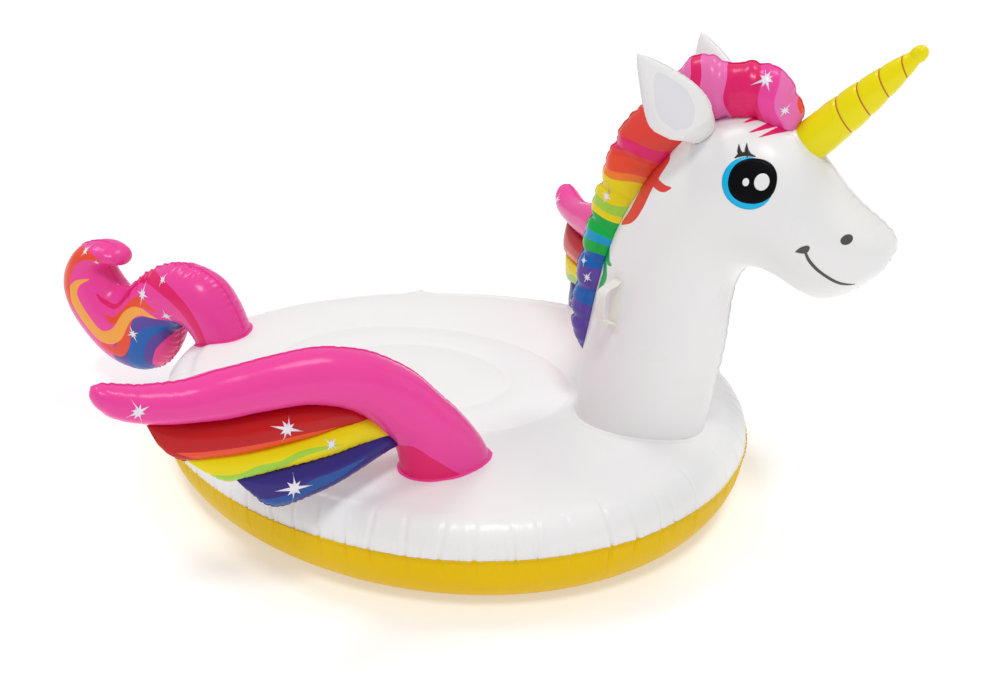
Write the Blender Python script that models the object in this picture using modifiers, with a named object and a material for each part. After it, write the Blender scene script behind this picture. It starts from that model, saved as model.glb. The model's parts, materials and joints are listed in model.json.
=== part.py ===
"""Ride-on inflatable pool float: island base, horse neck and head, horn, mane, wings and tail.

Frame: +X towards the head, +Y to the float's left, +Z up, metres.  The origin is the centre of
the island's outline on its underside, which lies on z = 0.  Every air chamber is a thin welded
skin, open where it is welded to its neighbour, so nothing is a sealed hollow.
"""
import math

import bmesh
import bpy
import numpy as np
from mathutils import Matrix, Vector
from mathutils.bvhtree import BVHTree

# Skins and clearances
WALL = 0.002
GAP = 0.0005
FLANGE_THICKNESS = 0.0014
NECK_FLANGE_WIDTH = 0.012
LIMB_FLANGE_WIDTH = 0.010
THIN_WALL = 0.0015

# Island base
RING_HALF_LENGTH = 1.0
RING_HALF_WIDTH = 0.845
RING_EGG = 0.10
SEAM_Z = 0.188
SEAM_FLANGE_WIDTH = 0.005
SEAM_FLANGE_THICKNESS = 0.002
SHOULDER_INSET = 0.100
SHOULDER_Z = 0.300
BILGE_INSET = 0.147
SEAT_CENTRE_X = -0.09
SEAT_HALF_LENGTH = 0.527
SEAT_HALF_WIDTH = 0.385
SEAT_EDGE_Z = 0.296
BAFFLE_INSET = 0.012
INNER_BAFFLE_FRACTION = 0.60
RING_SEGMENTS = 40

# Deck height by the fraction of the way from the outer seam to the seat's edge
DECK_CROWN = ((0.35, 0.316), (0.52, 0.321), (0.72, 0.317), (0.90, 0.306), (1.0, SEAT_EDGE_Z))
# Seat height by the fraction of the seat's radius, from its edge inwards
SEAT_CROWN = ((0.93, 0.304), (0.78, 0.309), (0.66, 0.304), (0.60, 0.297), (0.54, 0.304),
              (0.32, 0.311))
SEAT_CENTRE_Z = 0.312

# Chambers that stand on the centre plane.  Each station is
# (upper or rear edge x, z, lower or front edge x, z, half width).
NECK_AND_HEAD = (
    (0.480, 0.210, 0.885, 0.170, 0.172),
    (0.486, 0.300, 0.885, 0.270, 0.172),
    (0.494, 0.440, 0.910, 0.430, 0.171),
    (0.520, 0.610, 0.930, 0.590, 0.170),
    (0.556, 0.790, 0.942, 0.730, 0.170),
    (0.612, 0.955, 0.956, 0.805, 0.172),
    (0.700, 1.105, 0.985, 0.850, 0.176),
    (0.825, 1.235, 1.028, 0.858, 0.180),
    (0.960, 1.288, 1.082, 0.838, 0.180),
    (1.085, 1.258, 1.135, 0.804, 0.168),
    (1.178, 1.175, 1.195, 0.780, 0.148),
    (1.255, 1.092, 1.262, 0.795, 0.128),
    (1.322, 1.032, 1.318, 0.838, 0.104),
    (1.358, 0.998, 1.352, 0.884, 0.074),
    (1.373, 0.970, 1.371, 0.925, 0.036),
    (1.377, 0.948, 1.377, 0.948, 0.0),
)
TAIL = (
    (-0.772, 0.200, -0.955, 0.190, 0.105),
    (-0.780, 0.330, -0.968, 0.275, 0.108),
    (-0.825, 0.440, -0.998, 0.318, 0.110),
    (-0.888, 0.518, -1.028, 0.330, 0.112),
    (-0.985, 0.552, -1.050, 0.320, 0.113),
    (-1.085, 0.545, -1.065, 0.285, 0.114),
    (-1.175, 0.505, -1.085, 0.215, 0.115),
    (-1.240, 0.455, -1.145, 0.145, 0.116),
    (-1.285, 0.425, -1.240, 0.105, 0.116),
    (-1.320, 0.430, -1.345, 0.118, 0.115),
    (-1.342, 0.455, -1.440, 0.175, 0.112),
    (-1.356, 0.480, -1.525, 0.275, 0.108),
    (-1.362, 0.495, -1.562, 0.385, 0.103),
    (-1.358, 0.505, -1.545, 0.480, 0.097),
    (-1.345, 0.512, -1.480, 0.560, 0.090),
    (-1.325, 0.515, -1.390, 0.592, 0.080),
    (-1.300, 0.514, -1.315, 0.580, 0.062),
    (-1.282, 0.518, -1.282, 0.555, 0.036),
    (-1.276, 0.535, -1.276, 0.535, 0.0),
)
MANE = (
    (0.700, 1.300, 0.790, 1.205, 0.020),
    (0.655, 1.280, 0.790, 1.180, 0.052),
    (0.600, 1.215, 0.770, 1.130, 0.064),
    (0.568, 1.150, 0.735, 1.070, 0.060),
    (0.548, 1.080, 0.705, 1.010, 0.066),
    (0.522, 1.000, 0.672, 0.945, 0.060),
    (0.505, 0.930, 0.645, 0.880, 0.065),
    (0.488, 0.845, 0.622, 0.815, 0.058),
    (0.474, 0.770, 0.600, 0.745, 0.062),
    (0.464, 0.690, 0.585, 0.680, 0.054),
    (0.458, 0.620, 0.572, 0.615, 0.052),
    (0.470, 0.555, 0.560, 0.555, 0.036),
    (0.492, 0.505, 0.545, 0.510, 0.012),
    (0.510, 0.490, 0.510, 0.490, 0.0),
)
FORELOCK = (
    (0.735, 1.330, 0.760, 1.255, 0.030),
    (0.748, 1.382, 0.795, 1.235, 0.058),
    (0.790, 1.422, 0.835, 1.250, 0.068),
    (0.850, 1.428, 0.880, 1.260, 0.066),
    (0.905, 1.412, 0.925, 1.262, 0.064),
    (0.965, 1.424, 0.970, 1.262, 0.070),
    (1.030, 1.404, 1.005, 1.250, 0.070),
    (1.078, 1.350, 1.030, 1.235, 0.062),
    (1.097, 1.300, 1.055, 1.222, 0.044),
    (1.090, 1.262, 1.068, 1.215, 0.018),
    (1.080, 1.235, 1.080, 1.235, 0.0),
)

# Horn: a turned form, (distance along its axis, radius)
HORN_BASE = (1.100, 0.0, 1.200)
HORN_LEAN_DEG = 45.5
HORN_PROFILE = ((0.000, 0.056), (0.060, 0.056), (0.120, 0.053), (0.190, 0.048), (0.250, 0.041),
                (0.305, 0.033), (0.345, 0.025), (0.365, 0.0195), (0.378, 0.0215), (0.394, 0.0175),
                (0.402, 0.009))
HORN_TIP = 0.404
HORN_ROOT_DEPTH = 0.05
HORN_COLLAR_WIDTH = 0.008
HORN_SEGMENTS = 16

# Ears: a leaf chamber, in its own plane, keyed by side (+1 left).  Stations are
# (front u, height, rear u, height, half thickness), heights as fractions of the ear's length.
EAR_ROOT = {1: (0.838, 0.128, 1.225), -1: (0.838, -0.128, 1.225)}
EAR_TIP = {1: (0.748, 0.216, 1.452), -1: (0.703, -0.224, 1.470)}
EAR_WIDTH_AXIS = {1: (0.92, -0.38, 0.0), -1: (0.92, 0.38, 0.0)}
EAR_STATIONS = (
    (0.062, -0.15, -0.060, -0.15, 0.034),
    (0.080, 0.08, -0.074, 0.08, 0.044),
    (0.088, 0.31, -0.072, 0.33, 0.042),
    (0.076, 0.53, -0.056, 0.55, 0.033),
    (0.048, 0.73, -0.034, 0.75, 0.022),
    (0.018, 0.90, -0.012, 0.91, 0.010),
    (0.000, 1.00, 0.000, 1.00, 0.0),
)

# Wings: each lies in a plane through its root on the deck.  u runs outwards, v upwards.
# The soft wings hang differently: the left one sits further forward and lower (side +1 is left).
WING_ROOT = {1: (0.530, 0.360, 0.313), -1: (0.269, -0.515, 0.313)}
WING_OUT = {1: (-0.673, 0.717, -0.181), -1: (-0.487, -0.873, 0.0)}
WING_NORMAL = {1: (0.722, 0.585, -0.370), -1: (0.868, -0.484, 0.107)}
# (top edge u, v, bottom edge u, v, half thickness)
WING_ARM = (
    (-0.140, -0.120, 0.140, -0.120, 0.100),
    (-0.140, 0.000, 0.138, 0.020, 0.100),
    (-0.078, 0.120, 0.152, 0.100, 0.098),
    (0.006, 0.222, 0.195, 0.158, 0.094),
    (0.094, 0.316, 0.255, 0.222, 0.090),
    (0.200, 0.392, 0.330, 0.272, 0.086),
    (0.312, 0.436, 0.408, 0.303, 0.082),
    (0.415, 0.456, 0.480, 0.318, 0.078),
    (0.528, 0.464, 0.562, 0.326, 0.074),
    (0.643, 0.466, 0.660, 0.338, 0.070),
    (0.745, 0.464, 0.765, 0.360, 0.066),
    (0.845, 0.480, 0.868, 0.386, 0.060),
    (0.925, 0.505, 0.940, 0.422, 0.050),
    (0.968, 0.515, 0.975, 0.462, 0.030),
    (0.985, 0.492, 0.985, 0.492, 0.0),
)
WING_RED = (
    (0.258, 0.216, 0.262, 0.212, 0.004),
    (0.310, 0.258, 0.330, 0.216, 0.022),
    (0.400, 0.294, 0.420, 0.212, 0.034),
    (0.500, 0.312, 0.520, 0.218, 0.038),
    (0.610, 0.324, 0.620, 0.228, 0.038),
    (0.710, 0.340, 0.705, 0.242, 0.034),
    (0.790, 0.358, 0.770, 0.256, 0.026),
    (0.838, 0.368, 0.812, 0.282, 0.014),
    (0.858, 0.372, 0.836, 0.318, 0.004),
)
WING_YELLOW = (
    (0.185, 0.148, 0.189, 0.142, 0.004),
    (0.245, 0.202, 0.260, 0.144, 0.020),
    (0.330, 0.2148, 0.345, 0.142, 0.030),
    (0.425, 0.2108, 0.435, 0.146, 0.034),
    (0.520, 0.2166, 0.525, 0.152, 0.034),
    (0.615, 0.2260, 0.605, 0.158, 0.030),
    (0.700, 0.2400, 0.672, 0.166, 0.022),
    (0.765, 0.2540, 0.722, 0.202, 0.010),
    (0.778, 0.2560, 0.750, 0.230, 0.004),
)
WING_INDIGO = (
    (0.150, 0.104, 0.152, 0.100, 0.004),
    (0.190, 0.1400, 0.202, 0.094, 0.020),
    (0.270, 0.1420, 0.282, 0.072, 0.030),
    (0.350, 0.1405, 0.362, 0.054, 0.034),
    (0.440, 0.1445, 0.450, 0.046, 0.034),
    (0.520, 0.1500, 0.528, 0.046, 0.030),
    (0.590, 0.1555, 0.578, 0.070, 0.020),
    (0.640, 0.1585, 0.612, 0.110, 0.008),
    (0.650, 0.1590, 0.632, 0.138, 0.004),
)

SIDES = ((1, "left"), (-1, "right"))
CHAMBER_SEGMENTS = 12
HEAD_SEGMENTS = 16
HAIR_SEGMENTS = 10
FEATHER_SEGMENTS = 6
TURNED_SEGMENTS = 14

# Grab handles on the neck, in a frame on the neck's skin: x across, y up, z out.
# Each is a strap bent into a loop, welded to a long pad at both feet.
HANDLE_INSIDE = (0.72, 0.0, 0.735)
HANDLE_BEARING_DEG = 117.0
HANDLE_PAD = (0.050, 0.188)
HANDLE_PAD_CORNER = 0.022
HANDLE_PAD_THICKNESS = 0.0016
HANDLE_PAD_REACH = 0.040
HANDLE_STRAP_WIDTH = 0.036
HANDLE_STRAP_THICKNESS = 0.004
# (y, z) along the middle of the strap
HANDLE_STRAP = (
    (0.084, 0.001), (0.068, 0.001), (0.061, 0.012), (0.052, 0.043), (0.043, 0.057),
    (0.026, 0.062), (-0.024, 0.059), (-0.042, 0.053), (-0.051, 0.038), (-0.058, 0.012),
    (-0.065, 0.001), (-0.082, 0.001),
)

# Air valves: radii, heights and widths of the small pattern
VALVE_FLANGE_RADIUS = 0.015
VALVE_FLANGE_EDGE = 0.0008
VALVE_BOSS_RADIUS = 0.0090
VALVE_BOSS_FOOT_RADIUS = 0.0096
VALVE_BOSS_FOOT_HEIGHT = 0.0012
VALVE_BOSS_HEIGHT = 0.0030
VALVE_STEM_RADIUS = 0.0060
VALVE_STEM_DEPTH = 0.017
VALVE_BORE_RADIUS = 0.0046
VALVE_LIP_RADIUS = 0.0076
VALVE_LIP_THICKNESS = 0.0012
VALVE_HOLE_RADIUS = 0.0100
VALVE_CAP_RADIUS = 0.0070
VALVE_CAP_CHAMFER = 0.0006
VALVE_CAP_THICKNESS = 0.0016
VALVE_PLUG_TOP_RADIUS = 0.0041
VALVE_PLUG_END_RADIUS = 0.0033
VALVE_PLUG_DEPTH = 0.0045
VALVE_LUG_INSET = 0.0008
VALVE_LUG_GAP = 0.0016
VALVE_LUG_THICKNESS = 0.0020
VALVE_LUG_HALF_WIDTH = 0.0030
VALVE_STRAP_HALF_WIDTH = 0.0024
VALVE_STRAP_INSET = 0.0002
MAIN_VALVE_SCALE = 2.2
MAIN_VALVE_INSIDE = (-0.35, 0.45, 0.20)
MAIN_VALVE_DIRECTION = (-0.30, 0.90, 0.28)
NECK_VALVE_INSIDE = (0.74, 0.0, 0.48)
NECK_VALVE_DIRECTION = (0.05, 1.0, 0.0)
TAIL_VALVE_INSIDE = (-0.90, 0.0, 0.42)
TAIL_VALVE_DIRECTION = (0.0, 1.0, 0.0)
WING_VALVE_U = 0.10
WING_VALVE_V = 0.19

# Colours
WHITE = (0.86, 0.86, 0.87)
CREAM = (0.87, 0.85, 0.78)
YELLOW = (0.95, 0.72, 0.02)
HORN_YELLOW = (0.95, 0.86, 0.10)
PINK = (0.83, 0.09, 0.36)
RED = (0.80, 0.05, 0.06)
LIME = (0.75, 0.80, 0.05)
INDIGO = (0.06, 0.05, 0.30)
CLEAR = (0.85, 0.88, 0.90)


def clear_scene():
    for obj in list(bpy.data.objects):
        bpy.data.objects.remove(obj, do_unlink=True)


def make_collection(name):
    collection = bpy.data.collections.new(name)
    bpy.context.scene.collection.children.link(collection)
    return collection


def make_material(name, colour, roughness=0.25):
    material = bpy.data.materials.new(name)
    material.use_nodes = True
    shader = material.node_tree.nodes["Principled BSDF"]
    shader.inputs["Base Color"].default_value = (*colour, 1.0)
    shader.inputs["Roughness"].default_value = roughness
    shader.inputs["Metallic"].default_value = 0.0
    return material


clear_scene()
FLOAT = make_collection("inflatable_pool_float")
CUTTERS = make_collection("cutters")


# ---------------------------------------------------------------- meshes and modifiers

class Plane:
    """A drawing plane: (u, v) in it, and w along its normal."""

    def __init__(self, origin, u_axis, normal):
        self.origin = Vector(origin)
        self.normal = Vector(normal).normalized()
        u_axis = Vector(u_axis)
        self.u_axis = (u_axis - self.normal * u_axis.dot(self.normal)).normalized()
        self.v_axis = self.normal.cross(self.u_axis).normalized()
        if self.v_axis.z < 0.0:
            self.v_axis = -self.v_axis

    def point(self, u, v, w=0.0):
        return self.origin + self.u_axis * u + self.v_axis * v + self.normal * w


CENTRE_PLANE = Plane((0.0, 0.0, 0.0), (1.0, 0.0, 0.0), (0.0, 1.0, 0.0))


def grid_mesh(name, rings, closed, start_pole=None, end_pole=None, outward_from=None):
    """Skin a list of point rings; poles close an end to a single point.

    Every cell is split along the same diagonal, so a form and its swollen copy keep one gap.
    """
    bm = bmesh.new()
    rows = [[bm.verts.new(point) for point in ring] for ring in rings]
    count = len(rows[0])
    spans = count if closed else count - 1
    for row, following in zip(rows, rows[1:]):
        for i in range(spans):
            j = (i + 1) % count
            bm.faces.new((row[i], row[j], following[j]))
            bm.faces.new((row[i], following[j], following[i]))
    for pole, row, flipped in ((start_pole, rows[0], True), (end_pole, rows[-1], False)):
        if pole is None:
            continue
        apex = bm.verts.new(pole)
        for i in range(spans):
            j = (i + 1) % count
            corners = (row[j], row[i], apex) if flipped else (row[i], row[j], apex)
            bm.faces.new(corners)
    bm.normal_update()
    if outward_from is None:
        bmesh.ops.recalc_face_normals(bm, faces=bm.faces[:])
    else:
        agreement = sum(face.normal.dot(outward_from(face.calc_center_median())) * face.calc_area()
                        for face in bm.faces)
        if agreement < 0.0:
            bmesh.ops.reverse_faces(bm, faces=bm.faces[:])
    mesh = bpy.data.meshes.new(name)
    bm.to_mesh(mesh)
    bm.free()
    mesh.shade_smooth()
    mesh.set_sharp_from_angle(angle=math.radians(40.0))
    return mesh


def add_part(name, mesh, material):
    obj = bpy.data.objects.new(name, mesh)
    FLOAT.objects.link(obj)
    mesh.materials.clear()
    mesh.materials.append(material)
    return obj


def add_cutter(name, mesh):
    obj = bpy.data.objects.new(name, mesh)
    CUTTERS.objects.link(obj)
    obj.hide_render = True
    obj.display_type = "WIRE"
    return obj


def evaluated_mesh(obj):
    depsgraph = bpy.context.evaluated_depsgraph_get()
    return bpy.data.meshes.new_from_object(obj.evaluated_get(depsgraph))


def solidify(obj, thickness=WALL, offset=-1.0):
    modifier = obj.modifiers.new("skin", "SOLIDIFY")
    modifier.thickness = thickness
    modifier.offset = offset
    modifier.use_even_offset = False
    return modifier


def boolean(obj, cutter, operation="DIFFERENCE"):
    modifier = obj.modifiers.new(f"{operation.lower()}_{cutter.name}", "BOOLEAN")
    modifier.operation = operation
    modifier.solver = "EXACT"
    modifier.object = cutter
    return modifier


def swollen(name, source, distance):
    """A cutter that is the source form pushed out along its normals."""
    mesh = source.data.copy()
    normals = [vertex.normal.copy() for vertex in mesh.vertices]
    for vertex, normal in zip(mesh.vertices, normals):
        vertex.co += normal * distance
    return add_cutter(name, mesh)


def cylinder_mesh(name, radius, low, high, segments=16):
    bm = bmesh.new()
    bmesh.ops.create_cone(bm, cap_ends=True, segments=segments, radius1=radius, radius2=radius,
                          depth=high - low)
    bmesh.ops.translate(bm, verts=bm.verts[:], vec=(0.0, 0.0, 0.5 * (low + high)))
    mesh = bpy.data.meshes.new(name)
    bm.to_mesh(mesh)
    bm.free()
    return mesh


def box_mesh(name, low, high):
    bm = bmesh.new()
    bmesh.ops.create_cube(bm, size=1.0)
    size = [high[axis] - low[axis] for axis in range(3)]
    middle = [0.5 * (high[axis] + low[axis]) for axis in range(3)]
    bmesh.ops.scale(bm, verts=bm.verts[:], vec=size)
    bmesh.ops.translate(bm, verts=bm.verts[:], vec=middle)
    mesh = bpy.data.meshes.new(name)
    bm.to_mesh(mesh)
    bm.free()
    return mesh


def rounded_prism(name, size, radius, low, high):
    """A rounded rectangle, extruded from low to high along z."""
    bm = bmesh.new()
    half_x, half_y = size[0] / 2.0 - radius, size[1] / 2.0 - radius
    corners = []
    for index, (sx, sy) in enumerate(((1, 1), (-1, 1), (-1, -1), (1, -1))):
        for step in range(5):
            angle = math.pi / 2.0 * (index + step / 4.0)
            corners.append((sx * half_x + radius * math.cos(angle),
                            sy * half_y + radius * math.sin(angle)))
    face = bm.faces.new([bm.verts.new((x, y, low)) for x, y in corners])
    lifted = bmesh.ops.extrude_face_region(bm, geom=[face])
    moved = [item for item in lifted["geom"] if isinstance(item, bmesh.types.BMVert)]
    bmesh.ops.translate(bm, verts=moved, vec=(0.0, 0.0, high - low))
    bmesh.ops.recalc_face_normals(bm, faces=bm.faces[:])
    mesh = bpy.data.meshes.new(name)
    bm.to_mesh(mesh)
    bm.free()
    return mesh


def band_mesh(name, path, width, thickness):
    """A flat band of even thickness along a (y, z) path, its width along x, with closed ends."""
    points = [Vector((0.0, y, z)) for y, z in path]
    rings = []
    for index, point in enumerate(points):
        ahead = points[min(index + 1, len(points) - 1)]
        behind = points[max(index - 1, 0)]
        along = (ahead - behind).normalized()
        across = Vector((1.0, 0.0, 0.0)) * width / 2.0
        up = along.cross(Vector((1.0, 0.0, 0.0))) * thickness / 2.0
        rings.append([point - across - up, point + across - up,
                      point + across + up, point - across + up])
    return grid_mesh(name, rings, True, points[0], points[-1])


def screw_object(name, profile, segments):
    """Turn an open profile of (radius, height) about Z; it runs down its outer side."""
    mesh = bpy.data.meshes.new(name)
    vertices = [(radius, 0.0, height) for radius, height in profile]
    edges = [(i, i + 1) for i in range(len(vertices) - 1)]
    mesh.from_pydata(vertices, edges, [])
    obj = bpy.data.objects.new(name, mesh)
    modifier = obj.modifiers.new("turn", "SCREW")
    modifier.axis = "Z"
    modifier.angle = 2.0 * math.pi
    modifier.steps = segments
    modifier.render_steps = segments
    modifier.use_merge_vertices = True
    modifier.merge_threshold = 0.00005
    modifier.use_smooth_shade = True
    return obj


def ring_profile(corners):
    """A closed loop of corners, given down the outer side and up the inner side."""
    return list(corners) + [corners[0]]


def welded_band(name, rings):
    """A closed band: the last ring repeats the first, and is joined to it."""
    bm = bmesh.new()
    rows = [[bm.verts.new(point) for point in ring] for ring in rings[:-1]]
    count = len(rows[0])
    for index, row in enumerate(rows):
        following = rows[(index + 1) % len(rows)]
        for i in range(count):
            j = (i + 1) % count
            bm.faces.new((row[i], row[j], following[j], following[i]))
    bmesh.ops.recalc_face_normals(bm, faces=bm.faces[:])
    mesh = bpy.data.meshes.new(name)
    bm.to_mesh(mesh)
    bm.free()
    return mesh


def section(plane, station, angles):
    """Points round one oval section of a chamber, from its two edge points and half width."""
    upper = np.array(station[0:2])
    lower = np.array(station[2:4])
    middle = 0.5 * (upper + lower)
    reach = 0.5 * (upper - lower)
    points = []
    for angle in angles:
        u, v = middle + reach * math.cos(angle)
        points.append(plane.point(u, v, station[4] * math.sin(angle)))
    return points


def chamber_mesh(name, plane, stations, segments=CHAMBER_SEGMENTS, half=0, open_start=False):
    """Loft oval sections along the stations; the last one is a point.

    half is 0 for the whole chamber, or +1 or -1 for the skin on that side of its plane,
    which stops GAP / 2 short of the plane so that two halves never touch.
    """
    tip = stations[-1]
    pointed = tip[4] == 0.0
    body = stations[:-1] if pointed else stations
    first = segments // 2 if half < 0 else 0
    count = segments // 2 + 1 if half else segments
    angles = [2.0 * math.pi * (first + i) / segments for i in range(count)]
    side = plane.normal * half * GAP / 2.0
    rings = [[point + side for point in section(plane, station, angles)] for station in body]
    middles = [sum(ring, Vector()) / len(ring) for ring in rings]
    end_pole = plane.point(tip[0], tip[1]) + side if pointed else middles[-1]
    start_pole = None if open_start else middles[0]

    def outward(centre):
        nearest = min(middles, key=lambda middle: (middle - centre).length_squared)
        return centre - nearest

    return grid_mesh(name, rings, not half, start_pole, end_pole, outward)


# ---------------------------------------------------------------- island base

def ellipse_point(centre_x, half_length, half_width, egg, angle):
    x = half_length * math.cos(angle)
    y = half_width * math.sin(angle) * (1.0 + egg * math.cos(angle))
    return Vector((centre_x + x, y, 0.0))


def outline(angle, inset):
    return ellipse_point(0.0, RING_HALF_LENGTH - inset, RING_HALF_WIDTH - inset, RING_EGG, angle)


def seat_outline(angle, fraction=1.0, inset=0.0):
    return ellipse_point(SEAT_CENTRE_X, (SEAT_HALF_LENGTH - inset) * fraction,
                         (SEAT_HALF_WIDTH - inset) * fraction, 0.0, angle)


def at_height(point, z):
    return Vector((point.x, point.y, z))


RING_ANGLES = [2.0 * math.pi * i / RING_SEGMENTS for i in range(RING_SEGMENTS)]


def deck_rings(first_z, last_inset=0.0):
    """Rings from the perimeter seam over the shoulder and crown to the seat's edge."""
    rings = []
    for quarter in (0.0, 0.22, 0.45, 0.70, 1.0):
        lift = math.sin(quarter * math.pi / 2.0)
        inset = SHOULDER_INSET * (1.0 - math.cos(quarter * math.pi / 2.0))
        z = first_z + (SHOULDER_Z - first_z) * lift
        rings.append([at_height(outline(a, inset), z) for a in RING_ANGLES])
    for fraction, z in DECK_CROWN:
        ring = []
        for a in RING_ANGLES:
            edge = seat_outline(a, 1.0, -last_inset)
            ring.append(at_height(outline(a, 0.0).lerp(edge, fraction), z))
        rings.append(ring)
    return rings


def seat_rings(edge_inset=0.0):
    rings = [[at_height(seat_outline(a, 1.0, edge_inset), SEAT_EDGE_Z) for a in RING_ANGLES]]
    for fraction, z in SEAT_CROWN:
        rings.append([at_height(seat_outline(a, fraction), z) for a in RING_ANGLES])
    return rings


def bilge_rings(last_z):
    """Rings from the flat underside's edge up to the perimeter seam."""
    rings = []
    for quarter in (1.0, 0.75, 0.5, 0.25, 0.0):
        inset = BILGE_INSET * (1.0 - math.cos(quarter * math.pi / 2.0))
        z = last_z * (1.0 - math.sin(quarter * math.pi / 2.0))
        rings.append([at_height(outline(a, inset), z) for a in RING_ANGLES])
    return rings


def away_from_island_centre(centre):
    return centre - Vector((0.0, 0.0, SEAM_Z))


def build_island():
    white = make_material("island_white", WHITE)
    yellow = make_material("island_yellow", YELLOW)
    clearance = SEAM_FLANGE_THICKNESS / 2.0 + GAP
    top = add_part("island_top_sheet", grid_mesh(
        "island_top_sheet", deck_rings(SEAM_Z + clearance, GAP / 2.0), True,
        outward_from=away_from_island_centre), white)
    solidify(top)
    bottom_rings = bilge_rings(SEAM_Z - clearance)
    bottom = add_part("island_bottom_sheet", grid_mesh(
        "island_bottom_sheet", bottom_rings, True, start_pole=Vector((0.0, 0.0, 0.0)),
        outward_from=away_from_island_centre), yellow)
    solidify(bottom)
    seat = add_part("seat_top_panel", grid_mesh(
        "seat_top_panel", seat_rings(GAP / 2.0), True,
        end_pole=Vector((SEAT_CENTRE_X, 0.0, SEAT_CENTRE_Z)),
        outward_from=away_from_island_centre), white)
    solidify(seat)
    half = SEAM_FLANGE_THICKNESS / 2.0
    flange_rings = []
    for inset, z in ((-SEAM_FLANGE_WIDTH, -half), (-SEAM_FLANGE_WIDTH, half), (WALL, half),
                     (WALL, -half), (-SEAM_FLANGE_WIDTH, -half)):
        flange_rings.append([at_height(outline(a, inset), SEAM_Z + z) for a in RING_ANGLES])
    add_part("perimeter_weld_flange", welded_band("perimeter_weld_flange", flange_rings), yellow)
    for name, fraction in (("seat_baffle_outer", 1.0), ("seat_baffle_inner", INNER_BAFFLE_FRACTION)):
        inset = BAFFLE_INSET if fraction == 1.0 else 0.0
        edge_z = SEAT_EDGE_Z if fraction == 1.0 else dict(SEAT_CROWN)[fraction]
        top_z = edge_z - WALL - 2.0 * GAP
        low_z = WALL + 2.0 * GAP
        rings = [[at_height(seat_outline(a, fraction, inset), z) for a in RING_ANGLES]
                 for z in (low_z, top_z)]
        baffle = add_part(name, grid_mesh(
            name, rings, True,
            outward_from=lambda c: Vector((c.x - SEAT_CENTRE_X, c.y, 0.0))), white)
        solidify(baffle, THIN_WALL, 0.0)
    envelope = add_cutter("island_envelope", grid_mesh(
        "island_envelope", bilge_rings(SEAM_Z) + deck_rings(SEAM_Z)[1:] + seat_rings()[1:], True,
        Vector((0.0, 0.0, 0.0)), Vector((SEAT_CENTRE_X, 0.0, SEAT_CENTRE_Z)),
        away_from_island_centre))
    return top, bottom, envelope


# ---------------------------------------------------------------- chambers

def weld_flange(name, host, chamber, width, material, lift=FLANGE_THICKNESS):
    """A thin band that follows the host's skin round the foot of a chamber."""
    band = swollen(f"{name}_blank", chamber, width)
    band.hide_render = False
    band.display_type = "TEXTURED"
    CUTTERS.objects.unlink(band)
    FLOAT.objects.link(band)
    band.name = name
    band.data.materials.clear()
    band.data.materials.append(material)
    boolean(band, swollen(f"{name}_over", host, GAP + lift), "INTERSECT")
    boolean(band, swollen(f"{name}_under", host, GAP))
    boolean(band, swollen(f"{name}_inside", chamber, GAP))
    return band


def half_space(side):
    """A block that fills everything on the far side of the centre plane, up to half the gap."""
    name = "right_of_centre" if side > 0 else "left_of_centre"
    reach = 2.0
    inner = side * GAP / 2.0
    low_y, high_y = sorted((inner, -side * reach))
    return add_cutter(name, box_mesh(name, (-reach, low_y, -reach), (reach, high_y, reach)))


def build_neck_and_head(island, far_sides):
    white = make_material("head_white", WHITE)
    envelope = add_cutter("head_envelope", chamber_mesh(
        "head_envelope", CENTRE_PLANE, NECK_AND_HEAD, HEAD_SEGMENTS))
    deck = swollen("deck_clearance", island, GAP)
    panels = {}
    for side, word in SIDES:
        name = f"head_panel_{word}"
        panel = add_part(name, chamber_mesh(name, CENTRE_PLANE, NECK_AND_HEAD, HEAD_SEGMENTS,
                                            half=side, open_start=True), white)
        solidify(panel)
        boolean(panel, far_sides[side])
        boolean(panel, deck)
        panels[word] = panel
    weld_flange("neck_base_flange", island, envelope, NECK_FLANGE_WIDTH, white)
    return envelope, deck, panels


def build_tail(deck, island, far_sides):
    pink = make_material("tail_pink", PINK)
    envelope = add_cutter("tail_envelope", chamber_mesh("tail_envelope", CENTRE_PLANE, TAIL))
    panels = {}
    for side, word in SIDES:
        name = f"tail_panel_{word}"
        panel = add_part(name, chamber_mesh(name, CENTRE_PLANE, TAIL, half=side,
                                            open_start=True), pink)
        solidify(panel)
        boolean(panel, far_sides[side])
        boolean(panel, deck)
        panels[word] = panel
    weld_flange("tail_base_flange", island, envelope, LIMB_FLANGE_WIDTH, pink)
    return envelope, panels


def build_hair(head_clearance, horn_form):
    rainbow = make_material("mane_rainbow", RED)
    pink = make_material("forelock_pink", PINK)
    mane_form = add_cutter("mane_envelope", chamber_mesh(
        "mane_envelope", CENTRE_PLANE, MANE, HAIR_SEGMENTS))
    mane = add_part("mane", chamber_mesh("mane", CENTRE_PLANE, MANE, HAIR_SEGMENTS), rainbow)
    solidify(mane)
    boolean(mane, head_clearance)
    forelock = add_part("forelock", chamber_mesh(
        "forelock", CENTRE_PLANE, FORELOCK, HAIR_SEGMENTS), pink)
    solidify(forelock)
    boolean(forelock, head_clearance)
    mane_clearance = swollen("mane_clearance", mane_form, GAP)
    boolean(forelock, mane_clearance)
    boolean(forelock, swollen("horn_clearance", horn_form, HORN_COLLAR_WIDTH + GAP))
    forelock_form = add_cutter("forelock_envelope", chamber_mesh(
        "forelock_envelope", CENTRE_PLANE, FORELOCK, HAIR_SEGMENTS))
    return mane_clearance, swollen("forelock_clearance", forelock_form, GAP)


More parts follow.
